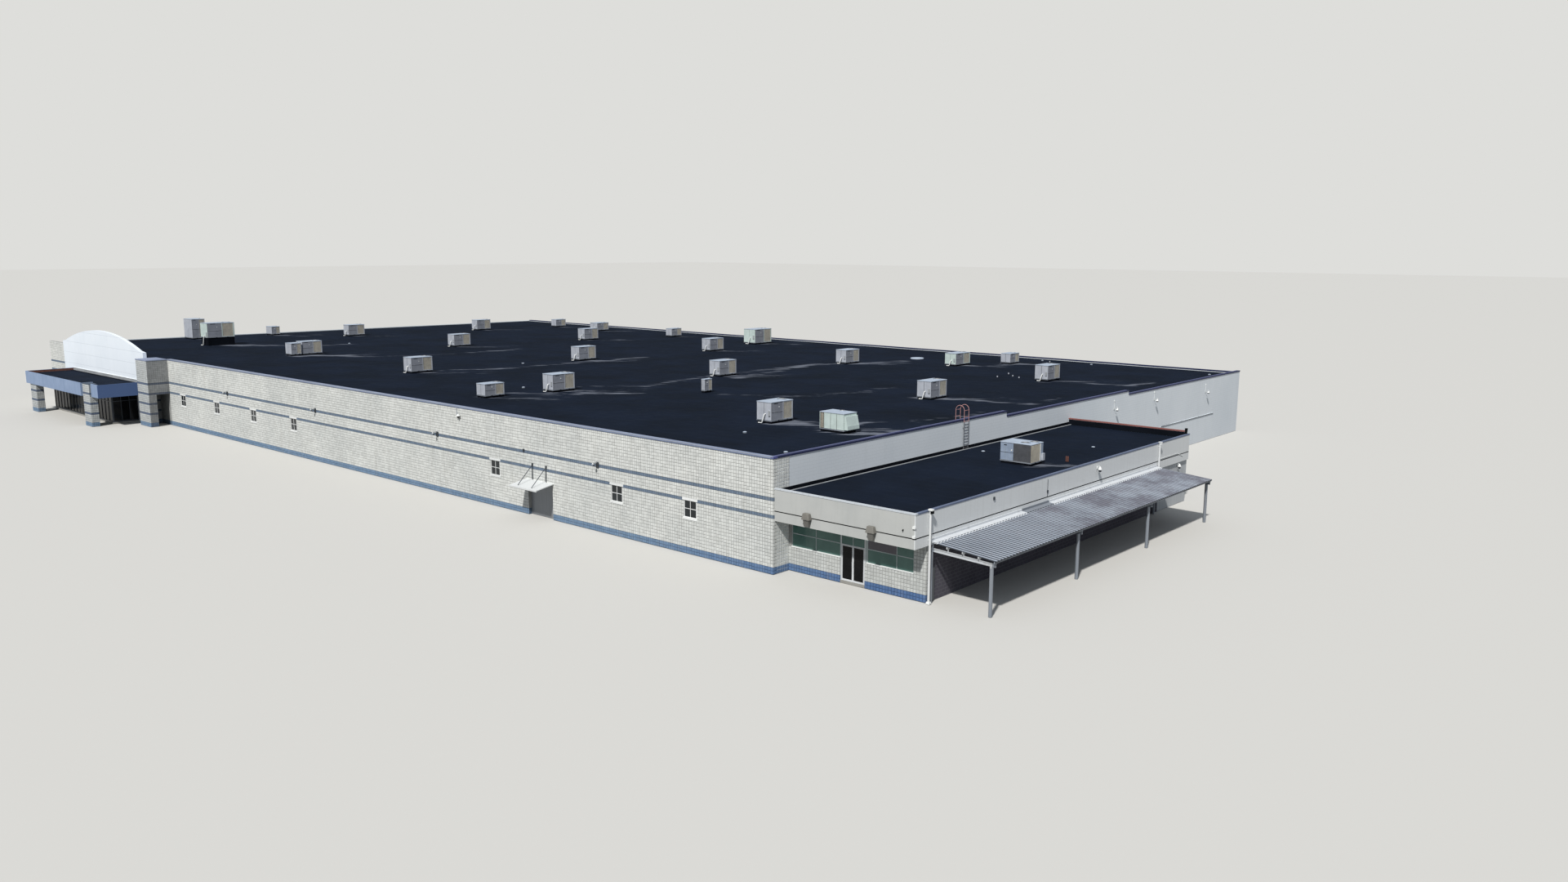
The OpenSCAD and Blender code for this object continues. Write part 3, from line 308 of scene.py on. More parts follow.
@dataclass(frozen=True)
class JointedPaint(Finish):
    """A painted wall of courses or panels whose joints show as thin darker lines."""

    rise_mm: float = COURSE
    length_mm: float = 2 * COURSE
    line_mm: float = 3.0
    line_colour: str = "#8A8C8E"
    line_share: float = 0.4

    def base(self, tree: Tree, point: Socket) -> Socket:
        """Draws the joints of a running bond over the clouded paint.

        Args:
            tree: The node tree.
            point: Object coordinates.

        Returns:
            The colour socket.
        """
        clean = Finish.base(self, tree, point)
        split = add(tree, "SeparateXYZ", {"Vector": point})
        rise = add(tree, "Math", {0: split.outputs["Z"], 1: 1 / (self.rise_mm * MM)}, operation="MULTIPLY")
        course = add(tree, "Math", {0: rise}, operation="FLOOR")
        level = add(tree, "Math", {0: rise}, operation="FRACT")
        bed = add(tree, "Math", {0: level, 1: self.line_mm / self.rise_mm}, operation="LESS_THAN")
        across = add(tree, "Math", {0: split.outputs["X"], 1: split.outputs["Y"]}, operation="ADD")
        shift = add(tree, "Math", {0: course, 1: 0.5}, operation="MULTIPLY")
        run = add(tree, "Math", {0: across, 1: 1 / (self.length_mm * MM), 2: shift}, operation="MULTIPLY_ADD")
        along = add(tree, "Math", {0: run}, operation="FRACT")
        head = add(tree, "Math", {0: along, 1: self.line_mm / self.length_mm}, operation="LESS_THAN")
        either = add(tree, "Math", {0: bed, 1: head}, operation="MAXIMUM")
        share = add(tree, "Math", {0: either, 1: self.line_share}, operation="MULTIPLY")
        lined = add(tree, "Mix", {"Factor": share, 6: clean, 7: linear(self.line_colour)}, data_type="RGBA")
        return lined.outputs[2]


@dataclass(frozen=True)
class BlockPaint(Finish):
    """Paint on split-face block: colour bands by course, and one tone a block."""

    base_colour: str = "#748CA6"
    near_colour: str = "#54709A"
    band_colour: str = "#6B7A8C"
    base_rows: int = 2
    bands: tuple[int, ...] = (17, 22)
    tone: float = 1.0

    def base(self, tree: Tree, point: Socket) -> Socket:
        """Colours the courses by their height and varies each block.

        Args:
            tree: The node tree.
            point: Object coordinates.

        Returns:
            The colour socket.
        """
        clean = Finish.base(self, tree, point)
        split = add(tree, "SeparateXYZ", {"Vector": point})
        height = add(tree, "Math", {0: split.outputs["Z"], 1: 1 / (WALL_TOP * MM)}, operation="MULTIPLY")
        none, full = (0.0, 0.0, 0.0, 1.0), (1.0, 1.0, 1.0, 1.0)
        low = add(tree, "ValToRGB", {"Fac": height})
        ramp(low, [(0.0, full), (self.base_rows / WALL_COURSES, none)], constant=True)
        band = add(tree, "ValToRGB", {"Fac": height})
        stops = [(0.0, none)]
        for course in self.bands:
            stops += [((course - 1) / WALL_COURSES, full), (course / WALL_COURSES, none)]
        ramp(band, stops, constant=True)
        banded = add(tree, "Mix", {"Factor": band.outputs["Color"], 6: clean, 7: linear(self.band_colour)},
            data_type="RGBA")
        near = add(tree, "MapRange", {"Value": split.outputs["X"], "From Min": CORNER.x - 1.2,
            "From Max": CORNER.x + 0.6})
        base = add(tree, "Mix", {"Factor": near.outputs["Result"], 6: linear(self.base_colour),
            7: linear(self.near_colour)}, data_type="RGBA")
        based = add(tree, "Mix", {"Factor": low.outputs["Color"], 6: banded.outputs[2], 7: base.outputs[2]},
            data_type="RGBA")
        cell = add(tree, "VectorMath", {0: point, 1: (1 / (COURSE * MM),) * 3}, operation="MULTIPLY")
        whole = add(tree, "VectorMath", {0: cell}, operation="FLOOR")
        chance = add(tree, "TexWhiteNoise", {"Vector": whole})
        tone = add(tree, "MapRange", {"Value": chance.outputs["Value"], "To Min": 0.86 * self.tone,
            "To Max": 1.04 * self.tone})
        varied = add(tree, "VectorMath", {0: based.outputs[2], "Scale": tone.outputs["Result"]}, operation="SCALE")
        return varied.outputs[0]


@dataclass(frozen=True)
class RoofSheet(Finish):
    """Rolled black roofing: laps every roll, fine grit, and pale dried dust where the mesh says so."""

    dust: str = "#6C717C"
    lap: str = "#262F40"
    roll_mm: float = 95.0
    lap_share: float = 0.25
    wind: float = 41.0
    wind_scale: float = 16.0
    wind_gain: float = 1.6

    def base(self, tree: Tree, point: Socket) -> Socket:
        """Adds laps and the dust that the mesh's own attribute holds.

        Args:
            tree: The node tree.
            point: Object coordinates.

        Returns:
            The colour socket.
        """
        clean = Finish.base(self, tree, point)
        split = add(tree, "SeparateXYZ", {"Vector": point})
        roll = add(tree, "Math", {0: split.outputs["Y"], 1: 1 / (self.roll_mm * MM)}, operation="MULTIPLY")
        part = add(tree, "Math", {0: roll}, operation="FRACT")
        lap = add(tree, "MapRange", {"Value": part, "From Min": 0.94, "From Max": 0.97, "To Max": self.lap_share})
        lapped = add(tree, "Mix", {"Factor": lap.outputs["Result"], 6: clean, 7: linear(self.lap)}, data_type="RGBA")
        film = add(tree, "Attribute", attribute_name="dust")
        wind = add(tree, "Mapping", {"Vector": point, "Rotation": (0.0, 0.0, math.radians(self.wind)),
            "Scale": (4.5, 1.0, 1.0)}, vector_type="TEXTURE")
        fine = add(tree, "TexNoise", {"Vector": wind.outputs["Vector"], "Scale": self.wind_scale, "Detail": 8.0,
            "Roughness": 0.66})
        doubt = add(tree, "MapRange", {"Value": fine.outputs["Fac"], "From Min": 0.38, "From Max": 0.62,
            "To Min": 0.12, "To Max": 1.0})
        past = add(tree, "Math", {0: film.outputs["Fac"], 1: doubt.outputs["Result"]}, operation="SUBTRACT")
        share = add(tree, "Math", {0: past, 1: self.wind_gain}, operation="MULTIPLY", use_clamp=True)
        dusty = add(tree, "Mix", {"Factor": share, 6: lapped.outputs[2], 7: linear(self.dust)}, data_type="RGBA")
        return dusty.outputs[2]


@dataclass(frozen=True)
class RibbedSheet(Finish):
    """Galvanised ribbed sheet: bright ribs, and pans darkened as painted shade."""

    # The pans' darker colour is painted shade beside the ribs.
    pan: str = "#42484F"
    start_mm: float = 145.0
    pitch_mm: float = 30.43
    rib_from: float = 0.32
    rib_to: float = 0.66
    blot: str = "#4F4B55"

    def base(self, tree: Tree, point: Socket) -> Socket:
        """Colours the pans darker than the ribs as painted shade, with brown water stains in the far half.

        Args:
            tree: The node tree.
            point: Object coordinates.

        Returns:
            The colour socket.
        """
        clean = Finish.base(self, tree, point)
        split = add(tree, "SeparateXYZ", {"Vector": point})
        start = (CORNER.y + self.start_mm * MM) / (self.pitch_mm * MM)
        place = add(tree, "Math", {0: split.outputs["Y"], 1: 1 / (self.pitch_mm * MM), 2: -start},
            operation="MULTIPLY_ADD")
        part = add(tree, "Math", {0: place}, operation="FRACT")
        middle, half = (self.rib_from + self.rib_to) / 2, (self.rib_to - self.rib_from) / 2
        rib = add(tree, "Math", {0: part, 1: middle, 2: half}, operation="COMPARE")
        both = add(tree, "Mix", {"Factor": rib, 6: linear(self.pan), 7: clean}, data_type="RGBA")
        blot = add(tree, "TexNoise", {"Vector": point, "Scale": 5.0, "Detail": 6.0, "Roughness": 0.65})
        much = add(tree, "MapRange", {"Value": blot.outputs["Fac"], "From Min": 0.42, "From Max": 0.6,
            "To Max": 0.62})
        deep = add(tree, "MapRange", {"Value": split.outputs["Y"], "From Min": CORNER.y + 0.75,
            "From Max": CORNER.y + 1.25})
        share = add(tree, "Math", {0: much.outputs["Result"], 1: deep.outputs["Result"]}, operation="MULTIPLY")
        stained = add(tree, "Mix", {"Factor": share, 6: both.outputs[2], 7: linear(self.blot)}, data_type="RGBA")
        return stained.outputs[2]


@dataclass(frozen=True)
class Glass(Surface):
    """Tinted glass: a dark mirror-smooth pane with a faint film of dust."""

    film: str
    specular: float = 0.4

    def wire(self, tree: Tree, shader: bpy.types.Node, point: Socket) -> None:
        """Wires the shader to the finish's patterns.

        Args:
            tree: The node tree.
            shader: The material's shader.
            point: Object coordinates.
        """
        cloud = add(tree, "TexNoise", {"Vector": point, "Scale": 9.0, "Detail": 4.0})
        tint = add(tree, "ValToRGB", {"Fac": cloud.outputs["Fac"]})
        ramp(tint, [(0.35, linear(self.colour)), (0.75, linear(self.film))])
        tree.links.new(tint.outputs["Color"], shader.inputs["Base Color"])
        wave = add(tree, "TexNoise", {"Vector": point, "Scale": 30.0})
        relief = add(tree, "Bump", {"Height": wave.outputs["Fac"], "Strength": 0.02, "Distance": 0.001})
        tree.links.new(relief.outputs["Normal"], shader.inputs["Normal"])
        shader.inputs["Roughness"].default_value = 0.12
        shader.inputs["IOR"].default_value = 1.52
        shader.inputs["Specular IOR Level"].default_value = self.specular


# Split-face concrete block under masonry paint: chalky, each block catches the light its own way.
WHITE_BLOCK = BlockPaint("masonry_paint_on_block", "#D6D8D5", "#C8CBC9", "#A3A19A", roughness=0.9, grain_mm=3.0,
    bump=0.35, specular=0.15)
# The same paint on the tower and the columns, a shade duller, with two more blue courses.
TOWER_BLOCK = WHITE_BLOCK.like("masonry_paint_on_tower", "#BFC3C3", "#B0B4B5", "#9A9890", band_colour="#5F6B80",
    bands=(7, 12, 17, 22))
# The sunk joints between the blocks, drawn three times as wide as real so that they show; the blocks' own paint at
# about half its brightness stands for the shade in them, as painted shade.
JOINTS = BlockPaint("block_joints_in_painted_shade", "#D6D8D5", "#C8CBC9", "#8F8D86", roughness=0.95, grain_mm=2.0, bump=0.2,
    specular=0.1, tone=0.5)
# The tower's joints, with the same painted shade.
TOWER_JOINTS = JOINTS.like("block_joints_on_tower_in_painted_shade", "#BFC3C3", "#B0B4B5", "#8F8D86", bands=(7, 12, 17, 22))
# Smooth painted block of the side and back walls: flat, cool grey-white, courses barely seen.
GREY_WALL = JointedPaint("smooth_masonry_paint", "#DFE5EA", "#D5DCE2", "#B3B8BC", roughness=0.9, cloud_mm=900.0,
    streak_mm=60.0, stain_share=0.12, grain_mm=5.0, bump=0.15, specular=0.15, line_mm=2.4, line_share=0.1)
# The annex block under the fascia, a little greyer.
ANNEX_BLOCK = WHITE_BLOCK.like("masonry_paint_on_annex", "#C4C7C5", "#B6B9B7", "#98968F")
# The tower side that looks right, darkened as painted shade.
TOWER_SIDE = TOWER_BLOCK.like("masonry_paint_on_tower_side_in_painted_shade", "#929495", "#858788", "#73716B", base_colour="#5C6B80",
    band_colour="#585E6A")
# Bare block of the annex side, pale grey with plain joints where it runs on past the canopy; under the canopy it is
# darkened as painted shade, with a lighter patch low by the front corner as painted sunlight.
RAW_BLOCK = JointedPaint("raw_block_with_painted_light_and_shade", "#5B5962", "#4E4C55", "#3D3B43", roughness=0.95, cloud_mm=150.0,
    streak_mm=25.0, stain_share=0.25, grain_mm=4.0, bump=0.5, specular=0.15, line_share=0.35,
    zones=(Zone("#B9BDC0", y=(3020.0, FAR)), Zone("#8F9294", y=(-FAR, 215.0), z=(0.0, 180.0))))
# Painted fibre-cement boards of the arch wall: nearly white and cool, faint board seams.
WHITE_PANEL = JointedPaint("white_panel_paint", "#E6EDF4", "#DCE4EC", "#C3C8CE", roughness=0.7, cloud_mm=700.0,
    streak_mm=60.0, stain_share=0.1, grain_mm=6.0, bump=0.05, specular=0.2, rise_mm=122.0, length_mm=FAR,
    line_mm=3.0, line_colour="#B4BCC6", line_share=0.6)
# The long trowelled stucco of the annex fascia: off-white in front, lighter along the side.
FASCIA_PAINT = Finish("stucco_paint", "#B4B6B4", "#A9ACAB", "#8F8D87", roughness=0.9, cloud_mm=300.0, streak_mm=16.0,
    stain_share=0.12, grain_mm=3.0, bump=0.3, specular=0.15, zones=(Zone("#D8DBDC", x=(957.0, 1500.0)),))
# Rolled bitumen roofing, almost navy, with dried dust.
ROOFING = RoofSheet("bitumen_roofing", "#151D2B", "#10161F", "#1B2230", roughness=0.95, cloud_mm=520.0,
    streak_mm=80.0, stain_share=0.2, grain_mm=3.0, bump=0.3, specular=0.05)
# The same roofing lapped up against a wall: black, without dust.
UPSTAND = Finish("bitumen_upstand", "#11151C", "#0C0F15", "#1C212B", roughness=0.95, cloud_mm=120.0, bump=0.3,
    specular=0.05)
# Folded coping metal: lavender grey on the front, deep navy along the side and the back.
COPING = Finish("coping_paint", "#8D97AE", "#7A849C", "#5E6478", roughness=0.55, cloud_mm=500.0, streak_mm=20.0,
    stain_share=0.25, grain_mm=6.0, bump=0.04, coat=0.05, specular=0.2,
    zones=(Zone("#20264A", y=(34.5, FAR)), Zone("#5C6186", x=(-34.5, -20.0), y=(34.5, FAR)),
    Zone("#4A4F83", x=(-19.0, 10.0), y=(-10.0, 34.5))))
# The drip edge of the front coping, in the coping paint's own shadow.
EDGE_PAINT = Finish("coping_drip_edge_paint", "#67748E", "#596580", "#4A4F60", roughness=0.55, cloud_mm=400.0,
    streak_mm=20.0, grain_mm=6.0, bump=0.04, specular=0.2)
# Annex coping: pale in front, stained blue grey along the side, red brown on the back parapet.
ANNEX_COPING = Finish("annex_coping_paint", "#66718A", "#556078", "#4C4A50", roughness=0.5, cloud_mm=180.0,
    streak_mm=12.0, stain_share=0.4, grain_mm=5.0, bump=0.05, coat=0.05, specular=0.2,
    zones=(Zone("#BFC5CB", y=(-5.0, 30.0)), Zone("#86554F", y=(3470.0, FAR), x=(-100.0, 940.0))))
# White gloss paint on the window frames, the awning and the small boxes.
WHITE_METAL = Finish("white_gloss_paint", "#E6E8E7", "#D3D6D6", "#B4B3AC", roughness=0.4, cloud_mm=120.0,
    streak_mm=8.0, stain_share=0.2, grain_mm=3.0, bump=0.04, coat=0.1,
    zones=(Zone("#D0D3D4", x=(-2290.0, -1980.0), y=(-160.0, -6.0)),))
# White powder coat of the annex storefront and its doors, greyed by the weather.
STOREFRONT_WHITE = Finish("white_powder_coat", "#D5D8DA", "#BDC1C4", "#92959A", roughness=0.45, cloud_mm=90.0,
    streak_mm=8.0, stain_share=0.25, grain_mm=2.0, bump=0.04)
# Powder coat of the window bars between the green panes, greyed by the weather.
MULLION = STOREFRONT_WHITE.like("weathered_powder_coat", "#AEB8B8", "#9CA6A6", "#7F8888", roughness=0.5)
# Dull anodised aluminium of the entrance bars and the awning's rods, nearly black.
ALUMINIUM = Finish("dark_anodised_aluminium", "#3A4048", "#30353D", "#5F6265", roughness=0.42, metallic=0.4,
    cloud_mm=200.0, streak_mm=10.0, stain_share=0.2, grain_mm=2.0, bump=0.05)
# Mill-finish aluminium of the service door, the brackets and the small flashings; the service door in its recess is
# darkened as painted shade.
BARE_ALUMINIUM = ALUMINIUM.like("mill_finish_aluminium", "#B6BABD", "#A1A5A9", "#77797C", roughness=0.5,
    metallic=0.3, cloud_mm=120.0, zones=(Zone("#85898E", x=(-2275.0, -1995.0), y=(20.0, 200.0)),))
# Dark bronze anodised door stiles and lamp bodies; the side wall's and the annex's lamps are paler.
BRONZE = Finish("bronze_anodised_aluminium", "#2A2B2D", "#202123", "#4A4A48", roughness=0.45, metallic=0.2,
    cloud_mm=100.0, streak_mm=8.0, stain_share=0.2, grain_mm=2.0, bump=0.05,
    zones=(Zone("#C9CBCB", x=(-60.0, 300.0), y=(4000.0, FAR)), Zone("#64635F", x=(100.0, 900.0), y=(-40.0, 40.0))))
# Sun-bleached bronze paint on the hoods over the annex lamps.
HOOD_PAINT = Finish("bleached_bronze_paint", "#7C7A74", "#6D6B66", "#55534F", roughness=0.6, cloud_mm=60.0,
    streak_mm=6.0, stain_share=0.35, grain_mm=2.0, bump=0.06)
# Flat black of sockets, cables and small black boxes, and painted shade in gaps, slots, wells and the units' cores.
GAP_BLACK = Finish("flat_black_and_painted_shade", "#0D0E10", "#08090A", "#1A1B1D", roughness=0.9, bump=0.05, specular=0.1)
# Hot-dip galvanised steel of the canopy's frame, greyed; its lamp poles are painted white.
ZINC = Finish("galvanised_steel", "#8F969F", "#7E858E", "#7A736C", roughness=0.55, metallic=0.35, cloud_mm=160.0,
    streak_mm=25.0, stain_share=0.35, grain_mm=5.0, bump=0.08,
    zones=(Zone("#DFE1E2", y=(100.0, 139.5)), Zone("#DFE1E2", y=(2950.0, 2975.0)),
    Zone("#C3C7CB", x=(980.0, 1330.0), y=(140.0, 185.0), z=(255.0, 340.0))))
# Ribbed sheet of the canopy, with the white flashing along the wall.
CANOPY_SHEET = RibbedSheet("galvanised_ribbed_sheet", "#989FAA", "#8A919C", "#6F6A6C", roughness=0.6, cloud_mm=260.0,
    streak_mm=35.0, stain_share=0.3, grain_mm=5.0, bump=0.08, specular=0.12,
    zones=(Zone("#C9CDD1", x=(950.0, 1008.0)), Zone("#7E848C", x=(950.0, 1008.0), y=(1080.0, 1400.0))))
# Painted blue fascia panels of the portico, darkened as painted shade on the face that looks right.
BLUE_PANEL = Finish("blue_panel_paint", "#8A9CB8", "#7A8DAA", "#5E6D88", roughness=0.6, cloud_mm=300.0,
    streak_mm=25.0, stain_share=0.2, grain_mm=4.0, bump=0.05, specular=0.2,
    zones=(Zone("#4B6088", x=(-8553.0, -8500.0)),))
# Galvanised casings of the rooftop units under chalky enamel.
CASING = Finish("chalky_unit_enamel", "#B0B5BE", "#A1A6B0", "#8A8884", roughness=0.6, cloud_mm=60.0, streak_mm=9.0,
    stain_share=0.3, grain_mm=2.0, bump=0.05, specular=0.25)
# The newer casings, a pale green white.
MINT_CASING = CASING.like("pale_green_enamel", "#C4D3CF", "#B6C5C1", "#979A93", roughness=0.55, stain_share=0.2)
# The annex unit's casing, blue grey and streaked.
BLUE_CASING = CASING.like("weathered_blue_enamel", "#93A1B4", "#8391A5", "#7D7A76", stain_share=0.35)
# The same enamel on the faces that look right, darkened as painted shade.
SHADED_CASING = CASING.like("unit_enamel_in_painted_shade", "#8E929B", "#80848D", "#74726F", roughness=0.65, specular=0.2)
# Painted steel lids, the brightest sheets on the roof.
LID = CASING.like("white_lid_enamel", "#ABB7C6", "#9DA8B7", "#8A8884", roughness=0.55, streak_mm=14.0,
    stain_share=0.25, bump=0.04)
# Dusty aluminium fins behind the coil guards, beige grey.
COIL = Finish("dusty_coil_fins", "#CFC9B9", "#B8B2A5", "#8B867B", roughness=0.7, metallic=0.2, cloud_mm=40.0,
    streak_mm=6.0, stain_share=0.4, grain_mm=1.5, bump=0.1)
# Dark copper fins behind a coil guard that faces the sun.
DARK_COIL = COIL.like("dark_coil_fins", "#54565B", "#46484D", "#6A6862", stain_share=0.3)
# Rusted steel of kerb frames, hoops and old straps.
RUST = Finish("rusted_steel", "#6E4A42", "#57382F", "#8B6A58", roughness=0.85, cloud_mm=20.0, streak_mm=5.0,
    stain_share=0.4, grain_mm=1.5, bump=0.3, specular=0.2)
# Ladder steel: dark rails, the hoops above the coping rusted red.
LADDER = Finish("ladder_steel", "#6A6C70", "#595B5F", "#6E4A42", roughness=0.7, cloud_mm=40.0, streak_mm=6.0,
    stain_share=0.3, grain_mm=1.5, bump=0.1, specular=0.25, zones=(Zone("#B58A88", z=(660.0, 900.0)),))
# Poured concrete slab.
CONCRETE = Finish("poured_concrete", "#9C9B96", "#8A8985", "#6F6D68", roughness=0.9, cloud_mm=250.0, streak_mm=60.0,
    stain_share=0.3, grain_mm=3.0, bump=0.3, specular=0.15)
# Grey panes of the front windows, with a film of dust.
DARK_GLASS = Glass("grey_tinted_glass", "#0F1418", "#1F262A")
# Bronze panes of the entrance and of the annex doors, nearly black.
BLACK_GLASS = Glass("bronze_tinted_glass", "#0B0B0D", "#151517", specular=0.12)
# Green tinted shop-front panes under dust.
GREEN_GLASS = Glass("green_tinted_glass", "#42665F", "#587A72", specular=0.3)
# A pane blanked from inside with grey board behind the glass.
BLANK_GLASS = Glass("blanked_glass", "#55525A", "#625F66", specular=0.3)


def clear_selection() -> None:
    """Goes to object mode and deselects every object."""
    if bpy.context.mode != "OBJECT":
        bpy.ops.object.mode_set(mode="OBJECT")
    bpy.ops.object.select_all(action="DESELECT")


def select_only(*objects: Part) -> None:
    """Selects these objects alone and makes the first one active."""
    clear_selection()
    for each in objects:
        each.select_set(True)
    bpy.context.view_layer.objects.active = objects[0]


def box(low: Vector, high: Vector) -> Part:
    """Adds a box between two corners in metres, at the origin, to be shaped further."""
    clear_selection()
    bpy.ops.mesh.primitive_cube_add(size=1.0, location=(low + high) / 2)
    made = bpy.context.object
    made.scale = high - low
    bpy.ops.object.transform_apply()
    return made


@contextmanager
def editing(target: Part, chosen: Callable[[bmesh.types.BMFace], bool]) -> Iterator[None]:
    """Opens edit mode with the chosen faces selected and closes it again.

    Args:
        target: The object to edit.
        chosen: Says of a face whether it is selected.

    Yields:
        Nothing; the operators run inside.
    """
    select_only(target)
    bpy.ops.object.mode_set(mode="EDIT")
    bpy.ops.mesh.select_mode(type="FACE")
    bpy.ops.mesh.select_all(action="DESELECT")
    mesh = bmesh.from_edit_mesh(target.data)
    for face in mesh.faces:
        face.select_set(chosen(face))
    bmesh.update_edit_mesh(target.data)
    yield
    bpy.ops.object.mode_set(mode="OBJECT")


def modify(target: Part, kind: str, **settings: object) -> Part:
    """Adds a modifier, sets it and applies it.

    Args:
        target: The object.
        kind: The modifier's type.
        settings: Its attributes.

    Returns:
        The same object.
    """
    select_only(target)
    made = target.modifiers.new(kind, kind)
    for key, value in settings.items():
        setattr(made, key, value)
    bpy.ops.object.modifier_apply(modifier=made.name)
    return target


def repeat(target: Part, step: Vector, count: int) -> Part:
    """Repeats the mesh count times at a step in metres."""
    if count < 2:
        return target
    return modify(target, "ARRAY", use_relative_offset=False, use_constant_offset=True,
        constant_offset_displace=step, count=count)


def soften(target: Part, width: float, segments: int = 1) -> Part:
    """Bevels the sharp edges by a width in metres."""
    return modify(target, "BEVEL", width=width, segments=segments, limit_method="ANGLE", angle_limit=math.radians(40))


def join(name: str, parts: Sequence[Part]) -> Part:
    """Joins objects into one that keeps each part's material."""
    select_only(*parts)
    if len(parts) > 1:
        bpy.ops.object.join()
    made = bpy.context.view_layer.objects.active
    made.name = name
    made.data.name = name
    return made


def copy_to(source: Part, shift: Vector) -> Part:
    """Copies an object with its own mesh and moves the copy's mesh."""
    made = source.copy()
    made.data = source.data.copy()
    made.data.transform(Matrix.Translation(shift))
    bpy.context.scene.collection.objects.link(made)
    return made


def paint(target: Part, material: bpy.types.Material) -> Part:
    """Gives an object one material."""
    target.data.materials.clear()
    target.data.materials.append(material)
    return target


def settle(target: Part, body: str = "building") -> Part:
    """Rides a finished piece on its body, logs it and returns it."""
    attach(target, body)
    LOG.info("%s: %d faces", target.name, len(target.data.polygons))
    return target


@dataclass
class Kit:
    """The parts of one finished piece, placed in building millimetres from a corner and joined at the end."""

    name: str
    at: Place = (0.0, 0.0, 0.0)
    parts: list[Part] = field(default_factory=list)

    def point(self, place: Place) -> Vector:
        return spot(*(a + b for a, b in zip(self.at, place)))

    def keep(self, made: Part, finish: Surface) -> Part:
        """Paints a part and keeps it for the join."""
        self.parts.append(paint(made, finish.build()))
        return made

    def block(self, low: Place, high: Place, finish: Surface, edge: float = 0.5,
            pressed: tuple[Side, float, float] | None = None, taper: tuple[Side, Place] | None = None) -> Part:
        """Adds a plate or box: pressed in on one side, narrowed at one side, with soft edges.

        Args:
            low: Lowest corner.
            high: Highest corner.
            finish: Its finish.
            edge: Width of the soft edge.
            pressed: The side with a pressed field, the field's margin and its depth.
            taper: A side whose face is resized by three factors.

        Returns:
            The part.
        """
        made = box(self.point(low), self.point(high))
        if taper:
            side, factors = taper
            with editing(made, lambda f: side.faces(f.normal)):
                bpy.ops.transform.resize(value=factors)
        if pressed:
            side, margin, depth = pressed
            with editing(made, lambda f: side.faces(f.normal)):
                bpy.ops.mesh.inset(thickness=margin * MM, depth=-depth * MM)
        if edge:
            soften(made, edge * MM)
        return self.keep(made, finish)

    def slats(self, low: Place, high: Place, step: Place, count: int, finish: Finish) -> Part:
        """Adds a row of slanted slats.

        Args:
            low: Lowest corner of the first slat.
            high: Highest corner of the first slat.
            step: Step from one slat to the next.
            count: Number of slats.
            finish: Their finish.

        Returns:
            The part.
        """
        made = box(self.point(low), self.point(high))
        with editing(made, lambda f: TOP.faces(f.normal)):
            bpy.ops.transform.resize(value=(0.5, 0.5, 1.0))
        repeat(made, Vector(step) * MM, count)
        return self.keep(made, finish)

    def round(self, foot: Place, radius: float, height: float, finish: Surface, top: float | None = None,
              turn: Place = (0.0, 0.0, 0.0), hollow: Pair | None = None, sides: int = 20, edge: float = 0.0) -> Part:
        """Adds a round part that stands on its foot, smooth at the side, with a sunk top if it is hollow.

        Args:
            foot: Centre of the foot.
            radius: Radius at the foot.
            height: Height along the axis.
            finish: Its finish.
            top: Radius at the top where it differs.
            turn: Turn about X, Y and Z in degrees.
            hollow: Wall thickness and depth of the sunk top.
            sides: Number of sides.
            edge: Width of the soft edge.

        Returns:
            The part.
        """
        clear_selection()
        upper = radius if top is None else top
        bpy.ops.mesh.primitive_cone_add(vertices=sides, radius1=radius * MM, radius2=upper * MM, depth=height * MM,
                                        location=(0.0, 0.0, height * MM / 2))
        made = bpy.context.object
        bpy.ops.object.transform_apply()
        if hollow:
            wall, depth = hollow
            with editing(made, lambda f: TOP.faces(f.normal)):
                bpy.ops.mesh.inset(thickness=wall * MM)
                bpy.ops.mesh.extrude_region_move(TRANSFORM_OT_translate={"value": (0.0, 0.0, -depth * MM)})
        if edge:
            soften(made, edge * MM, 2)
        select_only(made)
        made.rotation_euler = [math.radians(a) for a in turn]
        made.location = self.point(foot)
        bpy.ops.object.transform_apply()
        bpy.ops.object.shade_smooth_by_angle(angle=math.radians(40))
        return self.keep(made, finish)

    def rod(self, points: Sequence[Place], radius: float, finish: Surface, sides: int = 2) -> Part:
        """Adds a round bar or conduit with closed ends.

        Args:
            points: The points of its middle line.
            radius: Its radius.
            finish: Its finish.
            sides: Resolution of the round section.

        Returns:
            The part.
        """
        curve = bpy.data.curves.new(self.name, "CURVE")
        curve.dimensions = "3D"
        curve.bevel_depth, curve.bevel_resolution = radius * MM, sides
        curve.use_fill_caps = True
        line = curve.splines.new("POLY")
        line.points.add(len(points) - 1)
        for place, point in zip(line.points, points):
            place.co = (*self.point(point), 1.0)
        made = bpy.data.objects.new(self.name, curve)
        bpy.context.scene.collection.objects.link(made)
        select_only(made)
        bpy.ops.object.convert(target="MESH")
        bpy.ops.object.shade_smooth_by_angle(angle=math.radians(50))
        return self.keep(bpy.context.view_layer.objects.active, finish)

    def close(self, slot: str, *nodes: str, body: str = "building") -> Part:
        """Joins the parts into the finished piece.

        Args:
            slot: The record's material slot; not used.
            nodes: CAD nodes that it stands for.
            body: The CAD body that it rides on.

        Returns:
            The piece.
        """
        made = settle(join(self.name, self.parts), body)
        if nodes:
            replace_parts(made, *nodes)
        return made


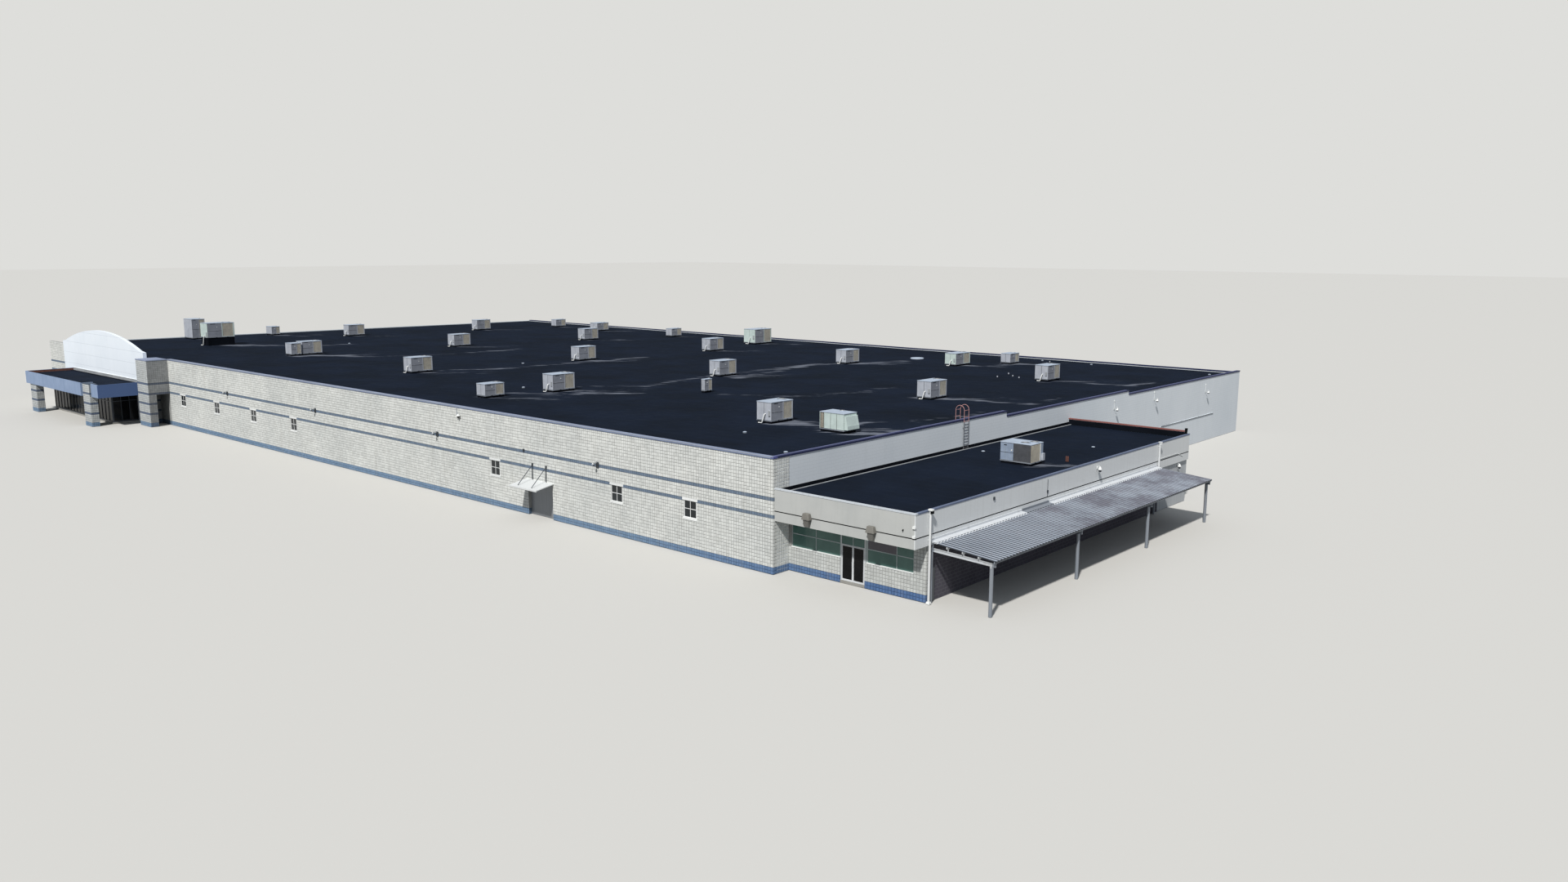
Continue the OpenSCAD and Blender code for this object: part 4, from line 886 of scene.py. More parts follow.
@dataclass
class BlockFace:
    """The raised split faces of the blocks on one flat wall face.

    Panels are (from, to, low course, high course) along the wall in millimetres, measured from the
    origin to the right as one looks at the face.
    """

    name: str
    side: Side
    origin: Vector
    panels: Sequence[Quad]
    finish: Finish
    joint: float = 2.6
    relief: float = 1.5
    seed: int = 1

    def panel(self, start: float, end: float, low: float, high: float) -> Part:
        """Builds one panel of blocks that faces the front, in metres from the origin.

        Args:
            start: Left edge in millimetres.
            end: Right edge in millimetres.
            low: Lowest course.
            high: Course above the highest one.

        Returns:
            The panel's object.
        """
        columns = max(round((end - start) / COURSE), 1)
        pitch = (end - start) / columns
        half = self.joint / 2
        block = box(Vector((start + half, -self.relief, low * COURSE + half)) * MM,
            Vector((start + pitch - half, 0.3, (low + 1) * COURSE - half)) * MM)
        with editing(block, lambda f: FRONT.faces(f.normal)):
            bpy.ops.transform.resize(value=(0.93, 1.0, 0.9))
        repeat(block, Vector((pitch * MM, 0.0, 0.0)), columns)
        return repeat(block, Vector((0.0, 0.0, COURSE * MM)), round(high - low))

    def build(self) -> Part:
        """Builds all the panels as one piece on the wall."""
        made = join(self.name, [self.panel(*p) for p in self.panels])
        with editing(made, lambda f: FRONT.faces(f.normal)):
            bpy.ops.transform.vertex_random(offset=0.35 * MM, seed=self.seed)
        select_only(made)
        made.rotation_euler = (0.0, 0.0, math.radians(self.side.turn))
        made.location = self.origin
        bpy.ops.object.transform_apply()
        paint(made, self.finish.build())
        return settle(made)


@dataclass
class PaintedBlockWork:
    """Every wall of painted split-face block: front, near corner, tower, columns and annex."""

    sill_course: int = 11
    head_course: int = 17
    recess: Pair = (2000.0, 2270.0)
    recess_courses: int = 12
    tower: Pair = (8270.0, 8540.0)
    tower_out: float = 205.0
    arch_out: float = 130.0
    arch_left: float = 10860.0
    west_end: float = 11750.0
    column: Pair = (180.0, 72.0)

    def strips(self, west: float, east: float) -> list[Quad]:
        """Splits a stretch of the front wall into panels round its windows.

        Args:
            west: Distance of the far end from the near corner.
            east: Distance of the near end.

        Returns:
            Panels measured from the far end.
        """
        edges = [x for x in sorted(WINDOWS, reverse=True) if east < x < west]
        panels, at = [], west
        for x in edges:
            left, right = x + WINDOW_WIDTH / 2, x - WINDOW_WIDTH / 2
            panels.append((west - at, west - left, 0, WALL_COURSES))
            panels.append((west - left, west - right, 0, self.sill_course))
            panels.append((west - left, west - right, self.head_course, WALL_COURSES))
            at = right
        panels.append((west - at, west - east, 0, WALL_COURSES))
        return panels

    def build(self) -> None:
        """Builds the block faces of every wall."""
        near, far = self.recess
        tower_near, tower_far = self.tower
        pier = self.tower_out - self.arch_out
        faces = (("blocks_front_left", FRONT, spot(-tower_near, 0, 0), self.strips(tower_near, far), WHITE_BLOCK),
            ("blocks_over_recess", FRONT, spot(-far, 0, 0), [(0, far - near, self.recess_courses, WALL_COURSES)],
            WHITE_BLOCK), ("blocks_front_right", FRONT, spot(-near, 0, 0), self.strips(near, 0), WHITE_BLOCK),
            ("blocks_far_left", FRONT, spot(-self.west_end, 0, 0),
            [(0, self.west_end - self.arch_left, 0, WALL_COURSES)], WHITE_BLOCK),
            ("blocks_corner_return", RIGHT, spot(0, 0, 0), [(0, ANNEX_FACE, 0, WALL_COURSES)], WHITE_BLOCK),
            ("blocks_tower_front", FRONT, spot(-tower_far, -self.tower_out, 0),
            [(0, tower_far - tower_near, 0, WALL_COURSES)], TOWER_BLOCK),
            ("blocks_tower_right", RIGHT, spot(-tower_near, -self.tower_out, 0),
            [(0, pier, 0, 16), (0, self.tower_out, 16, WALL_COURSES)], TOWER_SIDE),
            ("blocks_tower_left", LEFT, spot(-tower_far, -self.arch_out, 0), [(0, pier, 0, WALL_COURSES)],
            TOWER_BLOCK), ("blocks_annex_front", FRONT, spot(0, ANNEX_FACE, 0),
            [(0, 377, 0, 7), (547, 870, 0, 7), (870, 950, 0, 15)], ANNEX_BLOCK),
            ("blocks_annex_corner", RIGHT, spot(ANNEX_RIGHT, ANNEX_FACE, 0), [(0, 20, 0, 15)], ANNEX_BLOCK))
        for seed, (name, side, origin, panels, finish) in enumerate(faces):
            BlockFace(name, side, origin, panels, finish, seed=seed + 3).build()
        self.columns()

    def columns(self) -> None:
        """Builds the block faces of the two portico columns."""
        low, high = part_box("portico_columns")
        width, depth = (size * MM for size in self.column)
        for name, left, face, courses in (("near", high.x - width, high.y - depth, 21), ("far", low.x, low.y, 15)):
            corner = Vector((left, face, 0.0))
            sides = (("front", FRONT, corner, self.column[0], courses),
                ("right", RIGHT, corner + Vector((width, 0, 0)), self.column[1], 15),
                ("left", LEFT, corner + Vector((0, depth, 0)), self.column[1], 15),
                ("back", BACK, corner + Vector((width, depth, 0)), self.column[0], 14))
            for seed, (word, side, origin, run, count) in enumerate(sides):
                BlockFace(f"blocks_column_{name}_{word}", side, origin, [(0, run, 0, count)], TOWER_BLOCK,
                    seed=seed + 20).build()


@dataclass
class RoofSkin:
    """The roofing on both roofs: a thin skin whose dust attribute holds dried dust.

    Trails are the middle lines of the dust that water left, each with its width, in building millimetres.
    """

    units: Sequence[Quad] = ()
    cell: float = 0.06
    lift: float = 0.5
    thick: float = 0.4
    sway: float = 90.0
    trails: tuple[tuple[float, tuple[Pair, ...]], ...] = ((70,
        ((-3820, 1710), (-3390, 2100), (-3540, 2930), (-3650, 4800))),
        (60, ((-3850, 960), (-3470, 1170), (-3050, 1700))), (70, ((-5820, 1520), (-5450, 2260), (-5480, 4000))),
        (60, ((-1170, 1260), (-610, 1310), (-160, 1630), (-280, 1980))),
        (60, ((-1210, 3130), (-860, 3320), (-270, 3370), (-320, 3950))),
        (60, ((-1070, 4890), (-640, 5130), (-340, 5250), (-280, 5630))),
        (70, ((-3290, 3150), (-3590, 4620), (-3150, 5700))), (55,
        ((-1180, 1330), (-700, 1520), (-420, 1960), (-300, 2700))),
        (55, ((-620, 1180), (-250, 1330), (-60, 1700), (-60, 2500))),
        (60, ((-2500, 2150), (-2100, 2300), (-1800, 2900), (-1750, 3700))),
        (65, ((-8300, 1400), (-7700, 1700), (-7300, 2500), (-7300, 3600))),
        (60, ((-10150, 1500), (-9500, 1900), (-9200, 2700))))

    def along(self, x: float, y: float, line: Sequence[Pair]) -> float:
        """Distance in millimetres of a place from a line through points."""
        best = 1e9
        for (ax, ay), (bx, by) in zip(line, line[1:]):
            dx, dy = bx - ax, by - ay
            part = max(0.0, min(1.0, ((x - ax) * dx + (y - ay) * dy) / (dx * dx + dy * dy)))
            best = min(best, math.hypot(x - ax - part * dx, y - ay - part * dy))
        return best

    def dust_at(self, x: float, y: float, sources: Sequence[Quad]) -> float:
        """Says how dusty the roof is at a place.

        Args:
            x: Millimetres right of the near corner.
            y: Millimetres behind the front.
            sources: Units as right edge, front edge, width and length.

        Returns:
            A share from 0 to 1.
        """
        total = 0.0
        sway = self.sway * noise.noise(Vector((x * 0.003, y * 0.003, 7.0)))
        for width, line in self.trails:
            gap = self.along(x + sway, y - sway, line) / width
            if gap < 3.0:
                total += 0.75 * math.exp(-gap * gap)
        for east, south, w, l in sources:
            if abs(x - east) > 900 or abs(y - south) > 1200:
                continue
            start_x, start_y = east - w * 0.4, south + l * 0.5
            for step, (dx, dy) in enumerate(((0, 0), (90, 30), (210, 80), (320, 180), (380, 330), (400, 520))):
                gap_x = (x + sway - start_x - dx) / (95 + 14 * step)
                gap_y = (y - sway - start_y - dy) / (55 + 22 * step)
                total += math.exp(-gap_x * gap_x - gap_y * gap_y) * (0.6 - 0.07 * step)
            ring = max(abs(x - east + w / 2) - w / 2, abs(y - south - l / 2) - l / 2, 0.0)
            total += 0.5 * math.exp(-ring / 18)
        haze = 0.12 * max(0.0, noise.noise(Vector((x * 0.0006, y * 0.0009, 3.0))))
        return max(0.0, min(1.0, total + haze))

    def skin(self, name: str, low: Pair, high: Pair, height: Callable[[float], float],
            sources: Sequence[Quad]) -> Part:
        """Builds the skin of one roof.

        Args:
            name: The piece's name.
            low: Right and behind distances of the low corner in millimetres.
            high: The same for the high corner.
            height: Height in millimetres at a distance behind the front.
            sources: Units that shed dust.

        Returns:
            The piece.
        """
        across, along = round((high[0] - low[0]) * MM / self.cell), round((high[1] - low[1]) * MM / self.cell)
        clear_selection()
        bpy.ops.mesh.primitive_grid_add(x_subdivisions=across, y_subdivisions=along, size=1.0)
        made = bpy.context.object
        a, b = spot(low[0], low[1], height(low[1]) + self.lift), spot(high[0], high[1], height(high[1]) + self.lift)
        made.scale = (b.x - a.x, (b - a).yz.length, 1.0)
        made.rotation_euler = (math.atan2(b.z - a.z, b.y - a.y), 0.0, 0.0)
        made.location = (a + b) / 2
        bpy.ops.object.transform_apply()
        film = made.data.attributes.new("dust", "FLOAT", "POINT")
        for vertex, value in zip(made.data.vertices, film.data):
            place = (vertex.co - CORNER) / MM
            value.value = self.dust_at(place.x, place.y, sources)
        modify(made, "SOLIDIFY", thickness=self.thick * MM, offset=-1.0)
        made.name = name
        paint(made, ROOFING.build())
        return settle(made)

    def build(self) -> None:
        """Builds the skins of the main roof and the annex roof, and the lapped edges at the walls."""
        self.skin("roofing_main", (-11718, 32), (-32, 7068), roof_height, self.units)
        self.skin("roofing_annex", (2, ANNEX_ROOF_FRONT), (ANNEX_RIGHT - 2, ANNEX_ROOF_BACK), lambda y: ANNEX_DECK,
            [(670, 1700, 226, 157)])
        lap = Kit("roofing_lap_at_wall")
        lap.block((0.4, ANNEX_ROOF_FRONT, ANNEX_DECK + 1), (4.0, ANNEX_ROOF_BACK, ANNEX_DECK + 22), UPSTAND, 0.4,
            (RIGHT, 1.5, 0.4))
        lap.block((4.0, ANNEX_ROOF_FRONT, ANNEX_DECK + 1), (18.0, ANNEX_ROOF_BACK, ANNEX_DECK + 3), UPSTAND, 0.4,
            (TOP, 1.5, 0.4))
        lap.block((19.0, 40, ANNEX_DECK + 1), (26.0, ANNEX_ROOF_BACK, ANNEX_DECK + 6), BARE_ALUMINIUM, 0.8)
        lap.close("roof_sheet")


@dataclass
class RoofUnit:
    """A packaged air unit from its curb to its fans, measured from its front-right corner on the roof."""

    w: float = 140.0
    l: float = 232.0
    h: float = 152.0
    base: float = 16.0
    fans: int = 1
    coil: bool = True
    hooded: bool = False
    piped: bool = True
    enamel: Finish = CASING
    rail: float = 7.0
    lid: float = 5.0
    seam: float = 1.5
    side_enamel: Finish = SHADED_CASING
    front_coil: bool = False
    fan_at: tuple[tuple[float, float, float], ...] = ()

    def foot(self, kit: Kit) -> None:
        """Adds the curb, black as lapped roofing and as painted shade under the unit, the base rail with its fork
        slots, black as painted shade, and the straps.
        """
        kit.block((-self.w + 5, 5, -3), (-5, self.l - 5, self.base + 0.5), UPSTAND, 1.0, (FRONT, 2.0, 0.5))
        kit.block((-self.w, 0, self.base), (0, self.l, self.base + self.rail), ZINC, 0.8, (FRONT, 1.5, 0.6))
        for y in (self.l * 0.3, self.l * 0.7):
            for x in (-self.w - 0.3, -0.7):
                kit.block((x, y, self.base + 1.5), (x + 1.0, y + 16, self.base + 5.5), GAP_BLACK, 0.3)
        for x in (-self.w * 0.85, -self.w * 0.5, -self.w * 0.15):
            kit.block((x - 3, 1.5, -2), (x + 3, 6, self.base), UPSTAND, 0.5)

    def panel(self, kit: Kit, side: Side, start: float, end: float, low: float, high: float) -> None:
        """Adds one pressed panel on a side, between two places along it."""
        gap, deep = self.seam, (1.0, 3.0)
        if side in (FRONT, BACK):
            y = deep if side is FRONT else (self.l - deep[1], self.l - deep[0])
            kit.block((start + gap, y[0], low + gap), (end - gap, y[1], high - gap), self.enamel, 0.5,
                (side, 4.0, 0.8))
            return
        x = (-deep[1], -deep[0]) if side is RIGHT else (-self.w + deep[0], -self.w + deep[1])
        # Faces that look right take the side enamel, darker as painted shade.
        enamel = self.side_enamel if side is RIGHT else self.enamel
        kit.block((x[0], start + gap, low + gap), (x[1], end - gap, high - gap), enamel, 0.5, (side, 4.0, 0.8))

    def grille(self, kit: Kit, low: float, high: float) -> None:
        """Adds the framed coil with its guard wires on the right face."""
        start, end, edge = self.l * 0.56, self.l * 0.94, 4.0
        kit.block((-5.0, start, low + edge), (-3.2, end, high - edge), COIL, 0.3, (RIGHT, 1.0, 0.3))
        for y0, y1, z0, z1 in ((self.l * 0.53, self.l - 3, low, low + edge),
                (self.l * 0.53, self.l - 3, high - edge, high), (self.l * 0.53, start, low + edge, high - edge),
                (end, self.l - 3, low + edge, high - edge)):
            kit.block((-3.0, y0, z0), (-1.0, y1, z1), self.enamel, 0.4)
        count = int((high - low - 2 * edge) / 6)
        kit.slats((-2.6, start, low + edge + 2), (-1.6, end, low + edge + 3.2), (0, 0, 6), count, COIL)
        columns = int((end - start) / 14)
        kit.slats((-1.9, start + 6, low + edge), (-1.1, start + 7, high - edge), (0, 14, 0), columns, BARE_ALUMINIUM)

    def walls(self, kit: Kit) -> None:
        """Adds the dark core, black as painted shade behind the seams, and the panels round it."""
        low, high, w, l = self.base + self.rail, self.h - self.lid, self.w, self.l
        kit.block((-w + 3.4, 3.4, low), (-5.2, l - 3.4, high), GAP_BLACK, 0.5)
        kit.block((-5.4, 3.4, low), (-3.4, l * 0.55, high), GAP_BLACK, 0.3)
        edges = [-w + 1, -w / 2, -1] if not self.hooded else [-w * 0.8, -w * 0.55, -w * 0.3, -1]
        for a, b in zip(edges, edges[1:]) if not self.front_coil else ():
            self.panel(kit, FRONT, a, b, low, high)
        if self.hooded:
            kit.block((-w + 1, 1, low), (-w + 5, 3, high), self.enamel, 0.4)
            kit.block((-w * 0.82, 1, low), (-w * 0.8, 3, high), self.enamel, 0.4)
            count = int((high - low - 6) / 5)
            kit.slats((-w + 5, 1.2, low + 4), (-w * 0.82, 2.8, low + 6), (0, 0, 5), count, COIL)
        for a, b in ((-w + 1, -w / 2), (-w / 2, -1)):
            self.panel(kit, BACK, a, b, low, high)
        for part in range(3):
            self.panel(kit, LEFT, 3 + part * (l - 6) / 3, 3 + (part + 1) * (l - 6) / 3, low, high)
        split = low + (high - low) * 0.45
        if self.front_coil:
            self.corner_coil(kit, low, split, high)
            return
        end = l * 0.53 if self.coil else l / 2
        self.panel(kit, RIGHT, 3, end, low, split)
        self.panel(kit, RIGHT, 3, end, split, high)
        if self.coil:
            self.grille(kit, low, high)
            # A black slot in the right face, painted shade in a vent.
            kit.block((-1.4, l * 0.12, high - 9), (-0.6, l * 0.3, high - 6), GAP_BLACK, 0.3)
            kit.round((-1.6, l * 0.36, split + (high - split) * 0.5), 4.5, 1.6, WHITE_METAL, top=4.0,
                turn=(0, 90, 0), sides=16)
        else:
            self.panel(kit, RIGHT, end, l - 3, low, high)

    def corner_coil(self, kit: Kit, low: float, split: float, high: float) -> None:
        """Adds the two stacked panels and the coil that wraps the front-right corner.

        Args:
            kit: The unit's kit.
            low: Foot of the panels.
            split: Height of the seam between them.
            high: Top of the panels.
        """
        w, l, start = self.w, self.l, -self.w * 0.57
        self.panel(kit, FRONT, -w + 1, start, low, split)
        self.panel(kit, FRONT, -w + 1, start, split, high)
        kit.block((start, 1.5, low), (-1.5, 3.4, high), DARK_COIL, 0.3, (FRONT, 2.0, 0.4))
        kit.block((-3.4, 1.5, low), (-1.5, l * 0.72, high), COIL, 0.3, (RIGHT, 2.0, 0.4))
        count = int((high - low) / 6)
        kit.slats((start + 2, 0.9, low + 3), (-1, 1.9, low + 4.2), (0, 0, 6), count, DARK_COIL)
        kit.slats((-1.9, 2, low + 3), (-0.9, l * 0.72, low + 4.2), (0, 0, 6), count, COIL)
        kit.block((-4, l * 0.72, low), (-0.6, l * 0.8, high), WHITE_METAL, 0.5, (RIGHT, 1.0, 0.3))
        kit.block((-4, l * 0.81, low), (-1.0, l - 3, high), self.enamel, 0.5, (RIGHT, 2.0, 0.5))
        kit.block((-1, l * 0.83, low + 2), (13, l - 1, low + (high - low) * 0.42), CASING, 1.0, (RIGHT, 3.0, 1.0))
        kit.round((start - 14, 1.8, split + 16), 5, 2.4, WHITE_METAL, top=4.4, turn=(90, 0, 0), sides=16)
        kit.block((start - 70, 0.6, high - 18), (start - 48, 1.4, high - 13), GAP_BLACK, 0.3)

    def fan(self, kit: Kit, x: float, y: float, size: float) -> None:
        """Adds one fan: raised ring, a dark well painted black as shade, five blades on a hub, and a wire guard."""
        z = self.h
        kit.round((x, y, z - 1), size / 2, 4, LID, hollow=(2.5, 3.2), sides=32)
        kit.round((x, y, z - 0.4), size / 2 - 2.6, 0.8, GAP_BLACK, top=size / 2 - 3.0, sides=32)
        kit.round((x, y, z + 0.2), size * 0.09, 2.2, BRONZE, top=size * 0.06, edge=0.4)
        blade = box(Vector((size * 0.07, -size * 0.07, -0.5)) * MM, Vector((size * 0.43, size * 0.07, 0.5)) * MM)
        with editing(blade, lambda f: RIGHT.faces(f.normal)):
            bpy.ops.transform.resize(value=(1.0, 1.35, 1.0))
        blade.data.transform(Matrix.Rotation(math.radians(14), 4, "X"))
        middle = kit.point((x, y, z + 1.2))
        for part in range(5):
            made = copy_to(blade, Vector())
            made.data.transform(Matrix.Translation(middle) @ Matrix.Rotation(math.tau * part / 5, 4, "Z"))
            kit.keep(made, BRONZE)
        bpy.data.objects.remove(blade)
        for radius in (size * 0.17, size * 0.29, size * 0.41):
            clear_selection()
            bpy.ops.mesh.primitive_torus_add(major_radius=radius * MM, minor_radius=0.6 * MM, major_segments=24,
                minor_segments=4, location=kit.point((x, y, z + 3)))
            ring = bpy.context.object
            bpy.ops.object.transform_apply()
            kit.keep(ring, BARE_ALUMINIUM)
        for dx, dy in ((0.49, 0.0), (0.0, 0.49)):
            kit.rod([(x - dx * size, y - dy * size, z + 3), (x + dx * size, y + dy * size, z + 3)], 0.6,
                BARE_ALUMINIUM, 1)

    def top(self, kit: Kit) -> None:
        """Adds the lid with a pressed field and the fans over the coil."""
        kit.block((-self.w, 0, self.h - self.lid), (0, self.l, self.h), LID, 1.0, (TOP, 5.0, 0.6))
        size = min(self.w, self.l / (self.fans + 1)) * 0.62
        places = self.fan_at or [(-self.w / 2, self.l - (0.63 + part * 1.15) * size, size)
            for part in range(self.fans)]
        for place in places:
            self.fan(kit, *place)

    def extras(self, kit: Kit) -> None:
        """Adds the drain pipe, the switch box and the rain hood, where the unit has them."""
        w, l, h = self.w, self.l, self.h
        if self.piped:
            kit.rod([(-w * 0.4, 1, h * 0.44), (-w * 0.4, -9, h * 0.44), (-w * 0.41, -12, h * 0.41),
                (-w * 0.5, -18, 13), (-w * 0.52, -19, 5.5), (-w * 0.72, -24, 5.5)], 4.4, WHITE_METAL, 3)
            kit.block((-w * 0.74, -30, 0), (-w * 0.66, -16, 3), UPSTAND, 0.6, (TOP, 1.0, 0.3))
            kit.block((-w * 0.2, -5, h * 0.36), (-w * 0.08, 1.5, h * 0.6), BARE_ALUMINIUM, 0.6, (FRONT, 1.5, 0.5))
        if self.hooded:
            low, mid, high = self.base + 10, h * 0.4, h * 0.86
            hood = kit.block((-2, 6, mid), (22, l - 6, high), self.enamel, 0.5, taper=(TOP, (0.42, 1.0, 1.0)))
            for vertex in hood.data.vertices:
                if vertex.co.z > kit.point((0, 0, high - 1)).z:
                    vertex.co.x -= 7.0 * MM
            kit.block((-2, 6, low), (26, l - 6, mid), self.enamel, 0.5, (BOTTOM, 2.0, 1.5), (TOP, (0.86, 1.0, 1.0)))
            for y in (6, l / 2, l - 6):
                kit.block((-1, y - 0.6, low), (9, y + 0.6, high), self.enamel, 0.2, (RIGHT, 0.2, 0.2))

    def model(self, name: str, right: float, front: float, deck: float | None = None) -> Part:
        """Models the unit at a place on a roof.

        Args:
            name: The piece's name.
            right: Its right edge in building millimetres.
            front: Its front edge.
            deck: Height of a flat roof under it, or nothing on the main roof.

        Returns:
            The joined unit, not yet on its body.
        """
        kit = Kit(name, (right, front, roof_height(front) if deck is None else deck))
        self.foot(kit)
        self.walls(kit)
        self.top(kit)
        self.extras(kit)
        return join(name, kit.parts)


@dataclass
class RoofPlant:
    """Every unit, vent and pipe on the roofs, each at its place in building millimetres."""

    standard: tuple[Pair, ...] = ((-1060, 1170), (-1020, 3070), (-1010, 4990), (-3560, 1230), (-3450, 3110),
        (-3380, 4960), (-5710, 1220), (-5610, 3170), (-5490, 5040), (-8230, 1410), (-8070, 3240), (-7830, 5060),
        (-10520, 3210), (-10360, 5130))
    small: tuple[Pair, ...] = ((-3630, 610), (-10200, 6440), (-7500, 6320), (-2140, 6240))
    vents: tuple[Pair, ...] = ((-9360, 2580), (-5780, 2560), (-4010, 1260), (-2100, 6870), (-1490, 6830),
        (-160, 6720), (-923, 754), (-221, 360))
    pipes: tuple[Pair, ...] = ((-1950, 6760), (-1620, 5320), (-1550, 4990), (-1480, 5160), (-1360, 5070))

    def single(self) -> tuple[tuple[str, RoofUnit, float, float], ...]:
        """Names the units that have a size of their own, with their places."""
        return (("unit_short", RoofUnit(l=116, h=140, piped=False), -8220, 1280),
            ("unit_tall", RoofUnit(w=194, l=326, h=271, base=96, fans=2, enamel=MINT_CASING), -10170, 1210),
            ("unit_wide", RoofUnit(w=248, l=164, h=260, piped=False), -11290, 1490),
            ("unit_low", RoofUnit(w=166, l=113, h=119, piped=False), -11330, 2540),
            ("unit_back_left", RoofUnit(w=167, l=217, h=121), -9070, 6310),
            ("unit_back_double", RoofUnit(w=200, l=314, h=192, fans=2, enamel=MINT_CASING), -5840, 6210),
            ("unit_long", RoofUnit(w=140, l=278.4, h=136, enamel=MINT_CASING), -2430, 5620),
            ("unit_hooded", RoofUnit(w=209, l=140, h=134, coil=False, hooded=True, piped=False, enamel=MINT_CASING,
            side_enamel=MINT_CASING), -420, 1170))

    def sources(self) -> list[Quad]:
        """Lists every unit as right edge, front edge, width and length."""
        units = [(x, y, 140.0, 232.0) for x, y in self.standard]
        units += [(x, y, 121.0, 187.0) for x, y in self.small]
        return units + [(x, y, unit.w, unit.l) for _, unit, x, y in self.single()]

    def row(self, name: str, unit: RoofUnit, places: Sequence[Pair], node: str) -> None:
        """Models a unit once, copies it to its places and settles every copy.

        Args:
            name: Start of the pieces' names.
            unit: The unit.
            places: Right and front edges.
            node: The CAD node that the pieces stand for.
        """
        first = unit.model(f"{name}_1", *places[0])
        start = spot(*places[0], roof_height(places[0][1]))
        made = [first]
        for number, (x, y) in enumerate(places[1:], 2):
            made.append(copy_to(first, spot(x, y, roof_height(y)) - start))
            made[-1].name = f"{name}_{number}"
        for each in made:
            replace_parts(settle(each), node)

    def vent(self, kit: Kit, x: float, y: float) -> None:
        """Adds a round vent with a wide cap on a flashed foot, black under the cap as painted shade."""
        z = roof_height(y)
        kit.round((x, y, z - 0.5), 15, 3, ZINC, top=10, sides=24)
        kit.round((x, y, z), 8, 7, GAP_BLACK, sides=24)
        kit.round((x, y, z + 6), 14, 2, LID, sides=24, edge=0.5)
        kit.round((x, y, z + 8), 13.5, 3, LID, top=7, sides=24, edge=0.8)

    def pipe(self, kit: Kit, x: float, y: float, z: float, radius: float, height: float, finish: Finish) -> None:
        """Adds an open vent pipe with a cone flashing at its foot."""
        kit.round((x, y, z - 0.5), radius * 2.1, 4, UPSTAND, top=radius * 1.1, sides=20)
        kit.round((x, y, z), radius, height, finish, hollow=(radius * 0.22, 9), sides=20)

    def build(self) -> None:
        """Builds everything that stands on the roofs."""
        self.row("unit_standard", RoofUnit(), self.standard, "large_roof_units")
        for name, unit, x, y in self.single():
            self.row(name, unit, ((x, y),), "large_roof_units")
        self.row("unit_small", RoofUnit(w=121, l=187, h=116, piped=False), self.small, "small_roof_units")
        self.row("unit_thin", RoofUnit(w=44, l=88, h=117, piped=False), ((-2650, 2110),), "small_roof_units")
        annex = RoofUnit(w=226, l=157, h=141, piped=False, enamel=BLUE_CASING, front_coil=True,
            fan_at=((-70, 46, 64), (-40, 112, 64))).model("unit_annex", 670, 1700, ANNEX_DECK)
        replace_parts(settle(annex), "small_roof_units")
        kit = Kit("roof_vents_and_pipes")
        for place in self.vents:
            self.vent(kit, *place)
        for x, y in self.pipes:
            self.pipe(kit, x, y, roof_height(y), 6, 16, CASING)
        for x in (754, 766):
            self.pipe(kit, x, 2010, ANNEX_DECK, 4.8, 38, RUST)
        # Capped vents on the annex roof, black under the cap as painted shade.
        for x, y in ((635, 2629), (158, 1965)):
            kit.round((x, y, ANNEX_DECK), 8, 6, GAP_BLACK, sides=24)
            kit.round((x, y, ANNEX_DECK + 5), 13, 4, LID, top=9, sides=24, edge=0.8)
        z = roof_height(6020)
        kit.round((-3200, 6020, z - 0.5), 80, 6, UPSTAND, top=76, sides=40)
        kit.round((-3200, 6020, z + 5), 76, 12, LID, top=74, sides=40, edge=2.0, hollow=(10, 2))
        kit.close("unit_metal", "small_roof_units")


@dataclass
class DoorLeaf:
    """A glazed door leaf on a round hinge stile, modelled over its CAD leaf."""

    node: str
    frame_finish: Finish
    pane_finish: Glass
    hinge_left: bool
    bar: float = 8.0
    foot_rail: float = 15.0
    mid_rail: float | None = 0.46

    def build(self) -> Part:
        """Builds the leaf in the CAD leaf's place, on the CAD leaf's own body."""
        low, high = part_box(self.node)
        kit = Kit(f"{self.node}_glazed", tuple((low - CORNER) / MM))
        w, t, h = (high - low) / MM
        flip = (lambda a, b: (a, b)) if self.hinge_left else (lambda a, b: (w - b, w - a))
        r = t / 2
        hinge = r if self.hinge_left else w - r
        kit.round((hinge, r, 0), r, h, self.frame_finish, sides=24)
        bars = [(r, self.bar, 0.0, h), (w - self.bar, w, 0.0, h), (self.bar, w - self.bar, 0.0, self.foot_rail),
            (self.bar, w - self.bar, h - self.bar, h)]
        if self.mid_rail:
            bars.append((self.bar, w - self.bar, h * self.mid_rail, h * self.mid_rail + 5))
        for a, b, z0, z1 in bars:
            x0, x1 = flip(a, b)
            kit.block((x0, 0.0, z0), (x1, t, z1), self.frame_finish, 0.4)
        x0, x1 = flip(self.bar - 1, w - self.bar + 1)
        kit.block((x0, r - 0.6, self.foot_rail - 1), (x1, r + 0.6, h - self.bar + 1), self.pane_finish, 0.1,
            (FRONT, 0.6, 0.1))
        x0, x1 = flip(w - self.bar - 1, w - self.bar + 3)
        middle = (x0 + x1) / 2
        kit.rod([(middle, 0.2, h * 0.4), (middle, -1.6, h * 0.41), (middle, -1.6, h * 0.56),
            (middle, 0.2, h * 0.57)], 0.8, BARE_ALUMINIUM)
        return kit.close("dark_metal", self.node, body=self.node)


